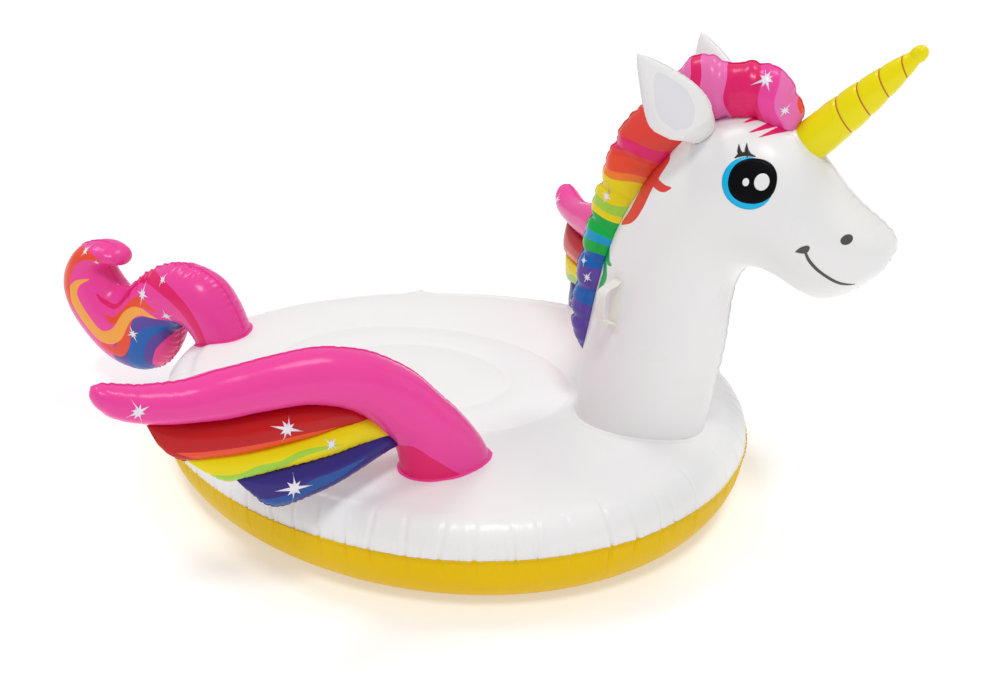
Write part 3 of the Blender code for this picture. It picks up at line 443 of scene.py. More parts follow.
def flatten_at(skin, valve):
    """Press the skin flat under a valve's flange."""
    origin, axis, radius = VALVES[valve]
    away = skin.points - origin
    height = away @ axis
    spread = np.linalg.norm(away - height[..., None] * axis, axis=-1)
    flat, free = VALVE_EASE
    share = np.clip((free - spread / radius) / (free - flat), 0.0, 1.0)
    share = share * share * (3.0 - 2.0 * share)
    share = np.where(np.abs(height) < VALVE_REACH, share, 0.0)
    skin.points = skin.points + (share * (-VALVE_SINK - height))[..., None] * axis


def soft_noise(points, scale, amount, seed):
    """A smooth, low wobble from a few sine waves, so that no skin is perfectly even."""
    local = random.Random(seed)
    waves = 7
    total = np.zeros(points.shape[:-1])
    for _ in range(waves):
        direction = np.array([local.gauss(0.0, 1.0) for _ in range(3)])
        direction /= np.linalg.norm(direction)
        wave = 2.0 * math.pi / (scale * local.uniform(0.7, 1.6))
        total += np.sin(points @ direction * wave + local.uniform(0.0, 6.3))
    return amount * total / waves


def tree_of(obj):
    depsgraph = bpy.context.evaluated_depsgraph_get()
    return BVHTree.FromObject(obj, depsgraph)


def rest_on(points, tree, direction, reach=0.6):
    """Move points that lie under the host's skin out to it, along direction; returns which."""
    out = Vector(direction).normalized()
    flat = points.reshape(-1, 3)
    moved = np.zeros(len(flat), bool)
    for index, point in enumerate(flat):
        start = Vector(point) + out * reach
        hit, _, _, distance = tree.ray_cast(start, -out, reach)
        if hit is not None and distance < reach + SKIN_GAP:
            flat[index] = hit + out * SKIN_GAP
            moved[index] = True
    return moved.reshape(points.shape[:-1])


def skin_object(name, skin, material, hidden=None, tip=True, root=False, valve=None):
    """Make the object of a skin; faces whose points are all hidden are left out.

    A closed tip or root draws together to one point, and under a valve's flange a round hole is
    cut for its stem.
    """
    rows, columns = skin.points.shape[:2]
    vertices = skin.points.reshape(-1, 3).copy()
    fields = {key: value.reshape(-1) for key, value in skin.fields.items()}
    index = np.arange(rows * columns).reshape(rows, columns)
    last = rows
    closing = []
    if tip:
        closing = [("tip", index[rows - 2], index[rows - 1, 0])]
        last = rows - 1
    first = 0
    if root:
        closing.append(("root", index[1], index[0, 0]))
        first = 1
    faces = []
    spans = columns if skin.closed else columns - 1
    for i in range(first, last - 1):
        a, b = index[i], index[i + 1]
        for j in range(spans):
            k = (j + 1) % columns
            faces.append((a[j], a[k], b[k], b[j]))
    for which, ring, pole in closing:
        for j in range(spans):
            k = (j + 1) % columns
            corners = (ring[j], ring[k], pole)
            faces.append(corners if which == "tip" else corners[::-1])
    if hidden is not None:
        covered = hidden.reshape(-1)
        faces = [face for face in faces if not all(covered[v] for v in face)]
    if valve:
        faces = cut_hole(vertices, faces, VALVES[valve])
    used = sorted({int(v) for face in faces for v in face})
    renumber = {old: new for new, old in enumerate(used)}
    mesh = bpy.data.meshes.new(name)
    mesh.from_pydata(vertices[used].tolist(), [],
                     [[renumber[int(v)] for v in face] for face in faces])
    for key, values in fields.items():
        attribute = mesh.attributes.new(key, "FLOAT", "POINT")
        attribute.data.foreach_set("value", np.ascontiguousarray(values[used], dtype=np.float32))
    return finish_mesh(name, mesh, material, skin.centres)


def cut_hole(vertices, faces, place):
    """Leave out the faces round a valve's stem, and draw the rim of the hole into a circle."""
    origin, axis, flange = place
    radius = flange * VALVE_HOLE
    away = vertices - origin
    height = away @ axis
    across = away - np.outer(height, axis)
    spread = np.linalg.norm(across, axis=1)
    inside = (spread < radius) & (np.abs(height) < 0.02)
    kept = [face for face in faces if not any(inside[v] for v in face)]
    gone = {int(v) for face in faces if any(inside[v] for v in face) for v in face}
    rim = sorted(gone & {int(v) for face in kept for v in face})
    drawn = across[rim] * (radius / spread[rim])[:, None]
    vertices[rim] = origin + axis * height[rim][:, None] + drawn
    return kept


def finish_mesh(name, mesh, material, centres=None):
    """Link a mesh as a smooth object; a sample of its faces tells if they look from the centres."""
    bm = bmesh.new()
    bm.from_mesh(mesh)
    bmesh.ops.recalc_face_normals(bm, faces=bm.faces[:])
    bm.normal_update()
    if centres is not None:
        middles = np.asarray(centres).reshape(-1, 3)
        score = 0.0
        bm.faces.ensure_lookup_table()
        for index in range(0, len(bm.faces), FACING_STEP):
            face = bm.faces[index]
            centre = face.calc_center_median()
            gaps = ((middles - np.array(centre)) ** 2).sum(axis=1)
            away = centre - Vector(middles[int(gaps.argmin())])
            score += away.dot(face.normal) * face.calc_area()
        if score < 0.0:
            bmesh.ops.reverse_faces(bm, faces=bm.faces[:])
    bm.to_mesh(mesh)
    bm.free()
    mesh.shade_smooth()
    mesh.materials.append(material)
    obj = bpy.data.objects.new(name, mesh)
    bpy.context.scene.collection.objects.link(obj)
    return obj


def attach(obj, slot, *nodes):
    """The piece belongs to the float's body and may stand for CAD nodes; the slot is not used."""
    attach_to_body(obj, FLOAT_BODY)
    if nodes:
        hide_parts(*nodes)


# ---------------------------------------------------------------- materials

def feed(material, node, inputs):
    """Set each named or numbered input of a node: a socket is linked, a colour or number kept."""
    for key, value in inputs.items():
        if isinstance(value, bpy.types.NodeSocket):
            material.node_tree.links.new(value, node.inputs[key])
        elif isinstance(value, tuple):
            node.inputs[key].default_value = (*value, 1.0)
        else:
            node.inputs[key].default_value = value


def add_node(material, kind, inputs):
    node = material.node_tree.nodes.new(kind)
    feed(material, node, inputs)
    return node


def compute(material, operation, *terms):
    node = add_node(material, "ShaderNodeMath", dict(enumerate(terms)))
    node.operation = operation
    return node.outputs["Value"]


def mix_colours(material, factor, first, second, blend="MIX"):
    mix = material.node_tree.nodes.new("ShaderNodeMix")
    mix.data_type = "RGBA"
    mix.blend_type = blend
    feed(material, mix, {"Factor": factor, "A": first, "B": second})
    return mix.outputs["Result"]


def field_socket(material, key):
    node = material.node_tree.nodes.new("ShaderNodeAttribute")
    node.attribute_name = key
    return node.outputs["Fac"]


def vinyl(name, colour, roughness=0.20, wrinkle=0.05, coat=0.08, specular=0.22):
    """Glossy calendered vinyl: fine ripples, uneven gloss, and a faint mottle in its colour.

    The colour is a constant, or a function that makes the printed colour of the material.
    """
    material = bpy.data.materials.new(name)
    material.use_nodes = True
    place = add_node(material, "ShaderNodeTexCoord", {}).outputs["Object"]

    def noise(scale, detail, grain=0.5):
        return add_node(material, "ShaderNodeTexNoise", {
            "Vector": place, "Scale": scale, "Detail": detail, "Roughness": grain}).outputs["Fac"]

    gloss = add_node(material, "ShaderNodeMapRange", {
        "Value": noise(9.0, 3.0), "To Min": roughness - 0.05, "To Max": roughness + 0.09})
    ripples = add_node(material, "ShaderNodeBump", {
        "Height": noise(26.0, 4.0, 0.45), "Strength": wrinkle, "Distance": 0.02})
    printed = colour(material) if callable(colour) else colour
    mottled = mix_colours(material, noise(5.0, 2.0), printed, (0.95, 0.95, 0.96), "MULTIPLY")
    feed(material, material.node_tree.nodes["Principled BSDF"], {
        "Base Color": mottled, "Roughness": gloss.outputs["Result"],
        "Normal": ripples.outputs["Normal"], "Specular IOR Level": specular,
        "Coat Weight": coat, "Coat Roughness": 0.12})
    return material


def banded(key, bands):
    """A colour printed in bands: (start of the band in the field, colour)."""
    def printed(material):
        ramp = add_node(material, "ShaderNodeValToRGB", {"Fac": field_socket(material, key)})
        ramp.color_ramp.interpolation = "CONSTANT"
        elements = ramp.color_ramp.elements
        elements.remove(elements[1])
        elements[0].position = bands[0][0]
        elements[0].color = (*bands[0][1], 1.0)
        for start, colour in bands[1:]:
            elements.new(start).color = (*colour, 1.0)
        return ramp.outputs["Color"]

    return printed


def overprint(under, layers):
    """Figures printed over a colour: a layer is (field, colour), inked where the field is > 0."""
    def printed(material):
        socket = under
        for key, colour in layers:
            edge = add_node(material, "ShaderNodeMapRange", {
                "Value": field_socket(material, key), "From Min": -PRINT_EDGE,
                "From Max": PRINT_EDGE})
            socket = mix_colours(material, edge.outputs["Result"], socket, colour)
        return socket

    return printed


def helix_lined(under, line_colour):
    """A thin line printed wherever the helix's turn comes round to its start."""
    def printed(material):
        turn = compute(material, "ARCTAN2", field_socket(material, "turn_sin"),
                       field_socket(material, "turn_cos"))
        edge = add_node(material, "ShaderNodeMapRange", {
            "Value": compute(material, "ABSOLUTE", turn), "From Min": HORN_LINE_TURN + 0.03,
            "From Max": HORN_LINE_TURN - 0.03})
        inked = compute(material, "MULTIPLY", edge.outputs["Result"],
                        field_socket(material, "lined"))
        return mix_colours(material, inked, under, line_colour)

    return printed


# ---------------------------------------------------------------- island base

def outline(angle, inset):
    """The island's egg-shaped outline, drawn in by an inset."""
    x = (RING_HALF_LENGTH - inset) * np.cos(angle)
    y = (RING_HALF_WIDTH - inset) * np.sin(angle) * (1.0 + RING_EGG * np.cos(angle))
    return np.stack([x, y], axis=-1)


def seat_outline(angle, fraction):
    x = SEAT_CENTRE_X + SEAT_HALF_LENGTH * fraction * np.cos(angle)
    y = SEAT_HALF_WIDTH * fraction * np.sin(angle)
    return np.stack([x, y], axis=-1)


def ring_grid(profile_rings, spacing_rows):
    """Smooth each angle's profile through its rings, then space the rows as asked (0 to 1)."""
    control = np.stack(profile_rings, axis=0)
    rings, angles, _ = control.shape
    dense = catmull(control.reshape(rings, -1), 16)
    length = running_length(dense.reshape(len(dense), angles, 3)).mean(axis=1)
    length /= length[-1]
    rows = np.stack([np.interp(spacing_rows, length, column) for column in dense.T], axis=1)
    return rows.reshape(len(spacing_rows), angles, 3)


def closer_at_start(count, power):
    return np.linspace(0.0, 1.0, count) ** power


def with_height(flat, z):
    return np.concatenate([flat, np.full(flat.shape[:-1] + (1,), z)], axis=-1)


def quarter_rings(angles, quarters, inset, seam_z, flat_z):
    """Rings on a quarter of an ellipse, from the seam's wall to where the skin lies flat."""
    rings = []
    for quarter in quarters:
        turn = quarter * math.pi / 2.0
        z = seam_z + (flat_z - seam_z) * math.sin(turn)
        rings.append(with_height(outline(angles, inset * (1.0 - math.cos(turn))), z))
    return rings


def build_island():
    """The ring's deck, its yellow side and underside, the weld between them, and the seat."""
    angles = 2.0 * math.pi * np.arange(RING_SEGMENTS) / RING_SEGMENTS
    seam = with_height(outline(angles, 0.0), SEAM_Z)
    lap = running_length(np.vstack([seam, seam[:1]]))
    spots = []
    for start, *crease in RING_CREASES:
        spots += spots_along(start, lap[-1] - RING_CREASE_END, *crease)
    ring_middle = np.array([[[0.0, 0.0, SEAM_Z]]])

    def pucker_ring(skin, stretch):
        stretched = [(place, depth, width, reach * stretch, slant)
                     for place, depth, width, reach, slant in spots]
        skin.push(creases(lap[:-1], running_length(skin.points).T, stretched).T)

    rings = quarter_rings(angles, (0.0, 0.22, 0.45, 0.70, 1.0), SHOULDER_INSET,
                          SEAM_Z + SEAM_HALF_GAP, SHOULDER_Z)
    for fraction, z in DECK_CROWN:
        flat = outline(angles, 0.0) * (1.0 - fraction) + seat_outline(angles, 1.0) * fraction
        rings.append(with_height(flat, z))
    top = Skin(ring_grid(rings, closer_at_start(60, 1.7)), True, ring_middle)
    inner_fade = np.clip((len(top.points) - 1 - np.arange(len(top.points))) / 14.0, 0.0, 1.0)
    top.push(soft_noise(top.points, 0.30, 0.0035, 3) * inner_fade[:, None])
    pucker_ring(top, 1.0)
    flatten_at(top, "main_valve")
    white = vinyl("island_white", WHITE, roughness=0.30, wrinkle=0.035)
    deck = skin_object("island_deck_skin", top, white, tip=False, valve="main_valve")
    attach(deck, "island_white", "island_top_sheet")

    rings = quarter_rings(angles, (0.0, 0.25, 0.5, 0.75, 1.0), BILGE_INSET,
                          SEAM_Z - SEAM_HALF_GAP, 0.0)
    side = Skin(ring_grid(rings, closer_at_start(44, 1.3)), True, ring_middle)
    pucker_ring(side, 0.70)
    side.points[..., 2] = np.maximum(side.points[..., 2], 0.0)
    under = np.stack([with_height(outline(angles, BILGE_INSET) * share, 0.0)
                      for share in (0.96, 0.85, 0.6, 0.3, 0.0)], axis=0)
    side.points = np.concatenate([side.points, under], axis=0)
    yellow = vinyl("island_yellow", SUN_YELLOW, roughness=0.40, wrinkle=0.03, coat=0.0,
                   specular=0.10)
    attach(skin_object("island_bottom_skin", side, yellow), "island_yellow",
           "island_bottom_sheet")

    middle = 0.5 * (top.points[0] + side.points[0])
    outward = outline(angles, -1.0) - outline(angles, 0.0)
    outward = with_height(outward / np.linalg.norm(outward, axis=1, keepdims=True), 0.0)
    band = np.stack([middle + outward * reach + np.array([0.0, 0.0, rise])
                     for reach, rise in SEAM_LIP], axis=0)
    weld = skin_object("island_seam_weld", Skin(band, True, ring_middle), yellow, tip=False)
    attach(weld, "island_yellow", "perimeter_weld_flange")

    rings = [with_height(seat_outline(angles[::5], fraction), z) for fraction, z in SEAT_CROWN]
    seat = Skin(ring_grid(rings, np.linspace(0.0, 1.0, 60)), True,
                np.array([[[SEAT_CENTRE_X, 0.0, 0.0]]]))
    seat_edge = seat.points[:1].copy()
    radius = np.linspace(0.0, 1.0, len(seat.points))[:, None]
    seat.push(soft_noise(seat.points, 0.35, 0.003, 5) * np.minimum(1.0, radius * 8.0))
    seat.points[:1] = seat_edge
    attach(skin_object("seat_skin", seat, white), "island_white", "seat_top_panel")
    return tree_of(deck)


# ---------------------------------------------------------------- film prints and small welds

def film_object(name, points, faces, material):
    mesh = bpy.data.meshes.new(name)
    mesh.from_pydata([tuple(p) for p in points], [], faces)
    obj = finish_mesh(name, mesh, material)
    film = obj.modifiers.new("film", "SOLIDIFY")
    film.thickness = FILM_THICKNESS
    film.offset = 1.0
    return obj


def land(tree, point, direction, lift, reach=0.8):
    """Where a ray meets the skin, lifted off it."""
    hit, normal, _, _ = tree.ray_cast(Vector(point) - Vector(direction) * reach,
                                      Vector(direction))
    if hit is None:
        return None
    if normal.dot(Vector(direction)) > 0.0:
        normal = -normal
    return hit + normal * lift


def patch_film(name, tree, plane, centre, outline_points, direction, material, lift, rings=7):
    """A filled figure on a skin: its outline shrinks in rings towards its centre."""
    outline_points = np.asarray(outline_points, float)
    centre = np.asarray(centre, float)
    count = len(outline_points)
    flat = [centre]
    for ring in range(1, rings + 1):
        share = ring / rings
        flat += list(centre + (outline_points - centre) * share)
    points = []
    for u, v in flat:
        landed = land(tree, plane.points(u, v, 0.0), direction, lift)
        if landed is None:
            landed = points[0] if points else Vector(plane.points(u, v, 0.0))
        points.append(landed)
    faces = [(0, 1 + i, 1 + (i + 1) % count) for i in range(count)]
    for ring in range(rings - 1):
        a = 1 + ring * count
        b = a + count
        faces += [(a + i, b + i, b + (i + 1) % count, a + (i + 1) % count) for i in range(count)]
    return film_object(name, points, faces, material)


def stroke_film(name, tree, plane, line, widths, direction, material, lift):
    """A brush stroke on a skin along a smooth line, with its half widths."""
    across = 4
    track = catmull(np.column_stack([line, widths]), 10)
    tangent = np.gradient(track[:, :2], axis=0)
    tangent /= np.maximum(np.linalg.norm(tangent, axis=1, keepdims=True), 1e-9)
    side = np.column_stack([-tangent[:, 1], tangent[:, 0]])
    points = []
    for row in range(len(track)):
        for column in range(across + 1):
            share = 2.0 * column / across - 1.0
            u, v = track[row, :2] + side[row] * max(track[row, 2], 0.0002) * share
            landed = land(tree, plane.points(u, v, 0.0), direction, lift)
            points.append(landed if landed is not None else points[-1])
    width = across + 1
    faces = [(i * width + j, i * width + j + 1, (i + 1) * width + j + 1, (i + 1) * width + j)
             for i in range(len(track) - 1) for j in range(across)]
    return film_object(name, points, faces, material)


STAR_ARMS = (1.0, 0.5, 0.78, 0.46, 1.0, 0.5, 0.78, 0.46)
STAR_VALLEY = 0.23


def star_outline(centre, size, turn_deg):
    points = []
    for index, arm in enumerate(STAR_ARMS):
        angle = math.radians(turn_deg) + 2.0 * math.pi * index / len(STAR_ARMS)
        valley = angle + math.pi / len(STAR_ARMS)
        points.append((centre[0] + size * arm * math.cos(angle),
                       centre[1] + size * arm * math.sin(angle)))
        points.append((centre[0] + STAR_VALLEY * size * math.cos(valley),
                       centre[1] + STAR_VALLEY * size * math.sin(valley)))
    return points


def squared(half, value, power):
    """A sine or cosine times a half size, drawn out towards the corners by a power under 1."""
    return half * math.copysign(abs(value) ** power, value)


def blob_outline(centre, half_u, half_v, turn_deg=0.0, power=2.0):
    """An oval, squarer as the power grows."""
    count = 48
    turn = math.radians(turn_deg)
    points = []
    for index in range(count):
        angle = 2.0 * math.pi * index / count
        u = squared(half_u, math.cos(angle), 2.0 / power)
        v = squared(half_v, math.sin(angle), 2.0 / power)
        points.append((centre[0] + u * math.cos(turn) - v * math.sin(turn),
                       centre[1] + u * math.sin(turn) + v * math.cos(turn)))
    return points


def stroke_field(flat, line, widths):
    """How far inside a brush stroke each flat point lies, in metres; outside is negative."""
    track = catmull(np.column_stack([line, widths]), 14)
    field = np.full(flat.shape[:-1], -1.0)
    for u, v, half in track:
        distance = np.hypot(flat[..., 0] - u, flat[..., 1] - v)
        field = np.maximum(field, half - distance)
    return field


def polygon_field(flat, outline_points):
    """How far inside a closed outline each flat point lies, in metres; outside is negative."""
    corners = np.asarray(outline_points, float)
    ends = np.roll(corners, -1, axis=0)
    x, y = flat[..., 0], flat[..., 1]
    inside = np.zeros(x.shape, bool)
    nearest = np.full(x.shape, 1.0)
    for (ax, ay), (bx, by) in zip(corners, ends):
        crosses = (ay > y) != (by > y)
        rise = by - ay if abs(by - ay) > 1e-12 else 1e-12
        inside ^= crosses & (x < (bx - ax) * (y - ay) / rise + ax)
        length = (bx - ax) ** 2 + (by - ay) ** 2 + 1e-18
        t = np.clip(((x - ax) * (bx - ax) + (y - ay) * (by - ay)) / length, 0.0, 1.0)
        nearest = np.minimum(nearest, np.hypot(x - ax - t * (bx - ax), y - ay - t * (by - ay)))
    return np.where(inside, nearest, -nearest)


def seam_weld(name, skin, edge, start, end, material, slot, width=0.0035, wobble=0.0008):
    """The thin flange of a weld along one edge of a chamber, standing out in its plane."""
    column = skin.column(edge)
    first = int(start * (len(skin.rows) - 1))
    last = int(end * (len(skin.rows) - 1))
    line = skin.points[first:last + 1, column]
    away = line - skin.centres[first:last + 1, 0]
    away = away / np.maximum(np.linalg.norm(away, axis=1, keepdims=True), 1e-9)
    normal = skin.plane.normal
    local = random.Random(name)
    ripple = np.array([local.uniform(-1.0, 1.0) for _ in range(len(line))])
    ripple = np.convolve(ripple, (0.25, 0.5, 0.25), "same") * wobble
    half, buried = 0.0007, -0.0030
    profile = ((buried, -half), (width, -half * 0.7), (width, half * 0.7), (buried, half))
    step = np.arange(len(line))
    taper = np.minimum(1.0, np.minimum(step, step[::-1]) / 4.0)
    rings = []
    for reach, lift in profile:
        out = away * (reach * np.where(reach > 0.0, 0.35 + 0.65 * taper, 1.0))[:, None]
        rings.append(line + out + normal * lift + normal * (ripple * (reach > 0.0))[:, None])
    band = Skin(np.stack(rings, axis=1), True)
    middles = band.points.mean(axis=1)
    band.centres = middles[:, None, :]
    for key, values in skin.fields.items():
        band.fields[key] = np.repeat(values[first:last + 1, column][:, None], 4, axis=1)
    attach(skin_object(name, band, material, tip=False), slot)


def foot_weld(name, skin, hidden, tree, direction, width, material, slot, node):
    """The narrow flange that welds a chamber's foot to the skin it stands on."""
    out = np.array(direction, float)
    out /= np.linalg.norm(out)
    rim = []
    for column in range(0, skin.points.shape[1], 2):
        buried = np.flatnonzero(hidden[:, column])
        if len(buried):
            rim.append(skin.points[min(buried[-1] + 1, len(hidden) - 1), column])
    rim = np.array(rim)
    centre = rim.mean(axis=0)
    away = rim - centre
    away -= np.outer(away @ out, out)
    away /= np.linalg.norm(away, axis=1, keepdims=True)
    local = random.Random(name)
    wave = np.array([local.uniform(-1.0, 1.0) for _ in range(len(rim))])
    wave = np.convolve(wave, np.ones(3) / 3.0, "same")
    rings = []
    for reach, lift in ((-0.004, 0.0004), (-0.001, 0.0026), (width * 0.5, 0.0017),
                        (width, 0.0004)):
        ring = []
        for index in range(len(rim)):
            point = rim[index] + away[index] * reach * (1.0 + 0.18 * wave[index])
            hit, _, _, _ = tree.ray_cast(Vector(point + out * 0.25), Vector(-out))
            base = np.array(hit) if hit is not None else point
            ring.append(base + out * lift)
        rings.append(ring)
    band = Skin(np.array(rings), True, np.array([[centre - out * 0.3]]))
    attach(skin_object(name, band, material, tip=False), slot, node)


# ---------------------------------------------------------------- chambers

def trim(skin, tree, direction, rows=None):
    """Bury a chamber's foot: its points inside the host are lifted onto the host's skin.

    The rows limit this to the first ones, at the foot.
    """
    points = skin.points if rows is None else skin.points[:rows]
    moved = rest_on(points, tree, direction)
    hidden = np.zeros(skin.points.shape[:2], bool)
    hidden[:len(moved)] = moved
    return hidden


def trim_along_rows(skin, tree):
    """Bury the inner edge of a lock of hair in the head, row by row along its own section."""
    reach = 0.25
    hidden = np.zeros(skin.points.shape[:2], bool)
    for row, station in enumerate(skin.rows):
        out = (skin.plane.u_axis * (station[0] - station[2])
               + skin.plane.v_axis * (station[1] - station[3]))
        length = np.linalg.norm(out)
        if length < 1e-6:
            continue
        hidden[row] = rest_on(skin.points[row], tree, out / length, reach)
    return hidden


def lobes(skin, places, depth, width):
    """Rounded lobes: the skin draws in all round at each place along its length."""
    share = skin.fields["along"]
    columns = share.shape[1]
    side = 0.5 + 0.5 * np.abs(np.cos(2.0 * math.pi * np.arange(columns) / columns))[None, :]
    total = np.zeros_like(share)
    for place in places:
        total -= depth * np.exp(-((share - place) / width) ** 2)
    skin.push(total * side)


def inflate(plane, stations, around, noise, puckers, spacing=SKIN_SPACING, lobed=None):
    """A chamber's skin with its unevenness, its lobes and the creases at its welds.

    The noise is (scale, amount, seed).  A pucker is (edge, start, end, spacing, depth, width,
    reach): the start and the end are shares of the edge's length.
    """
    skin = chamber_skin(plane, stations, around, spacing)
    skin.push(soft_noise(skin.points, *noise))
    if lobed:
        lobes(skin, *lobed)
    for edge, *crease in puckers:
        pucker(skin, edge, *crease)
    return skin


def print_strokes(skin, fields):
    """Store brush strokes as fields: name -> each stroke's line and half widths."""
    for key, strokes in fields.items():
        skin.fields[key] = np.max([stroke_field(skin.flat, *stroke) for stroke in strokes], axis=0)


HEAD_PUCKERS = (
    (UPPER, 0.50, 0.93, 0.055, 0.0030, 0.0060, 0.060),
    (LOWER, 0.30, 0.93, 0.048, 0.0042, 0.0065, 0.075),
    (UPPER, 0.88, 0.995, 0.030, 0.0045, 0.0070, 0.095),
    (LOWER, 0.86, 0.995, 0.028, 0.0070, 0.0070, 0.095),
)
HEAD_STROKES = {
    "strand_red": (
        (((0.745, 1.150), (0.716, 1.112), (0.727, 1.094), (0.762, 1.087), (0.792, 1.096)),
         (0.010, 0.014, 0.013, 0.010, 0.001)),
        (((0.750, 1.150), (0.710, 1.085), (0.686, 1.025), (0.665, 0.985), (0.630, 0.950)),
         (0.012, 0.018, 0.019, 0.015, 0.003))),
    "strand_green": (
        (((0.575, 0.885), (0.590, 0.850), (0.600, 0.834), (0.622, 0.834)),
         (0.010, 0.010, 0.008, 0.001)),
        (((0.565, 0.850), (0.590, 0.800), (0.583, 0.770), (0.560, 0.705)),
         (0.010, 0.011, 0.010, 0.002))),
    "strand_pink": tuple((line, (0.010, 0.0062, 0.0006)) for line in (
        ((1.020, 1.306), (0.975, 1.302), (0.935, 1.294)),
        ((1.060, 1.298), (1.000, 1.288), (0.945, 1.270)),
        ((1.076, 1.283), (1.020, 1.270), (0.968, 1.252)),
        ((1.086, 1.266), (1.045, 1.260), (1.002, 1.246)))),
}


def build_head(deck):
    skin = inflate(CENTRE_PLANE, NECK_AND_HEAD, 240, (0.32, 0.0035, 11), HEAD_PUCKERS)
    flatten_at(skin, "neck_valve")
    hidden = trim(skin, deck, UP, rows=60)
    print_strokes(skin, HEAD_STROKES)
    printed = overprint(WHITE, (("strand_red", BRIGHT_RED), ("strand_green", GREEN),
                                ("strand_pink", CRIMSON)))
    material = vinyl("head_white", printed, roughness=0.28, wrinkle=0.03)
    obj = skin_object("head_skin", skin, material, hidden, valve="neck_valve")
    attach(obj, "head_white", "head_panel_left", "head_panel_right")
    trimmings = vinyl("head_trim", WHITE, roughness=0.3)
    foot_weld("neck_foot_weld", skin, hidden, deck, UP, 0.012, trimmings, "head_white",
              "neck_base_flange")
    seam_weld("head_seam_upper", skin, UPPER, 0.62, 0.99, trimmings, "head_white")
    seam_weld("head_seam_lower", skin, LOWER, 0.14, 0.99, trimmings, "head_white")
    return tree_of(obj)


def mane_level(u, v):
    return v + 0.15 * (u - 0.58) + 0.005 * np.sin(u * 40.0 + v * 9.0)


def forelock_level(u, v):
    return u + 0.22 * (v - 1.37) + 0.008 * np.sin(v * 44.0)


# Locks of hair.  The lobes are (places along it, depth, width), the bands start at these levels,
# and the range is the lowest level and the span that the bands are counted in.
LOCKS = {
    "mane": {
        "stations": MANE, "seed": 21, "slot": "mane_rainbow",
        "lobed": ((0.20, 0.345, 0.47, 0.60, 0.72, 0.84), 0.0110, 0.017),
        "puckers": ((UPPER, 0.08, 0.95, 0.048, 0.0055, 0.0075, 0.085),),
        "level": mane_level, "range": (0.45, 0.90), "seam": (0.06, 0.97), "weld": 0.0040,
        "bands": ((0.0, VIOLET), (0.665, BLUE), (0.715, VIOLET), (0.785, BLUE), (0.832, GREEN),
                  (0.866, CYAN), (0.893, GREEN), (0.950, YELLOW), (0.972, LIME), (1.003, YELLOW),
                  (1.078, ORANGE), (1.100, SCARLET), (1.140, BRIGHT_RED), (1.160, CRIMSON),
                  (1.195, BRIGHT_RED)),
    },
    "forelock": {
        "stations": FORELOCK, "seed": 31, "slot": "forelock_pink",
        "lobed": ((0.12, 0.36, 0.56, 0.80), 0.0075, 0.030),
        "puckers": ((UPPER, 0.05, 0.95, 0.040, 0.0030, 0.0060, 0.060),),
        "level": forelock_level, "range": (0.70, 0.45), "seam": (0.05, 0.97), "weld": 0.0035,
        "bands": ((0.0, LIGHT_PINK), (0.795, CRIMSON), (0.825, LIGHT_PINK), (0.893, CRIMSON),
                  (0.985, HOT_PINK), (1.030, LIGHT_PINK), (1.083, SCARLET)),
    },
}


def build_lock(name, head):
    """A lock of hair, bedded in the head and printed in bands."""
    lock = LOCKS[name]
    slot = lock["slot"]
    skin = inflate(CENTRE_PLANE, lock["stations"], 150, (0.16, 0.003, lock["seed"]),
                   lock["puckers"], lobed=lock["lobed"])
    hidden = trim_along_rows(skin, head)
    low, span = lock["range"]
    skin.fields["band"] = (lock["level"](skin.flat[..., 0], skin.flat[..., 1]) - low) / span
    bands = [(max(0.0, (start - low) / span), colour) for start, colour in lock["bands"]]
    material = vinyl(slot, banded("band", bands), roughness=0.24)
    obj = skin_object(f"{name}_skin", skin, material, hidden, root=True)
    attach(obj, slot, name)
    seam_weld(f"{name}_seam", skin, UPPER, *lock["seam"], material, slot, width=lock["weld"])


EAR_PUCKER = (0.30, 0.95, 0.026, 0.0016, 0.0035, 0.035)
EAR_LEAF = ((-0.020, 0.070), (0.022, 0.060), (0.054, 0.095), (0.060, 0.145), (0.042, 0.195),
            (0.016, 0.228), (-0.012, 0.190), (-0.034, 0.130), (-0.020, 0.070))


def build_ears(head):
    """The ears: each foot bends inwards into the head, and a paler leaf faces outwards."""
    for side, word in SIDES:
        plane, length = ear_plane(side)
        stations = [(front, high * length, rear, low * length, depth)
                    for front, high, rear, low, depth in EAR_STATIONS]
        skin = inflate(plane, stations, 90, (0.10, 0.0025, 41 + side),
                       ((UPPER, *EAR_PUCKER), (LOWER, *EAR_PUCKER)), spacing=0.0045)
        low = np.clip((EAR_BEND - skin.flat[..., 1]) / (EAR_BEND + 0.15 * length), 0.0, 1.0)
        rise = np.where(low > 0.0, EAR_BEND - 0.016 * low - skin.flat[..., 1], 0.0)
        inward = np.array((0.10, -side * 0.85, -0.50))
        inward /= np.linalg.norm(inward)
        skin.points = (skin.points + rise[..., None] * plane.v_axis
                       + (EAR_ROOT_DEPTH * low ** 1.2)[..., None] * inward)
        foot = int(np.count_nonzero(low.max(axis=1) > 0.0))
        hidden = trim(skin, head, -inward, rows=foot)
        inner = polygon_field(skin.flat, catmull(EAR_LEAF, 6))
        skin.fields["inner"] = np.where(skin.depth * side < 0.0, inner, -1.0)
        material = vinyl(f"ear_white_{word}", overprint(WHITE, (("inner", EAR_LILAC),)),
                         roughness=0.28, wrinkle=0.03)
        attach(skin_object(f"ear_skin_{word}", skin, material, hidden), "ear_white",
               f"ear_{word}")
        trimmings = vinyl(f"ear_trim_{word}", WHITE)
        seam_weld(f"ear_seam_front_{word}", skin, UPPER, 0.30, 0.97, trimmings, "ear_white")
        seam_weld(f"ear_seam_rear_{word}", skin, LOWER, 0.30, 0.97, trimmings, "ear_white")


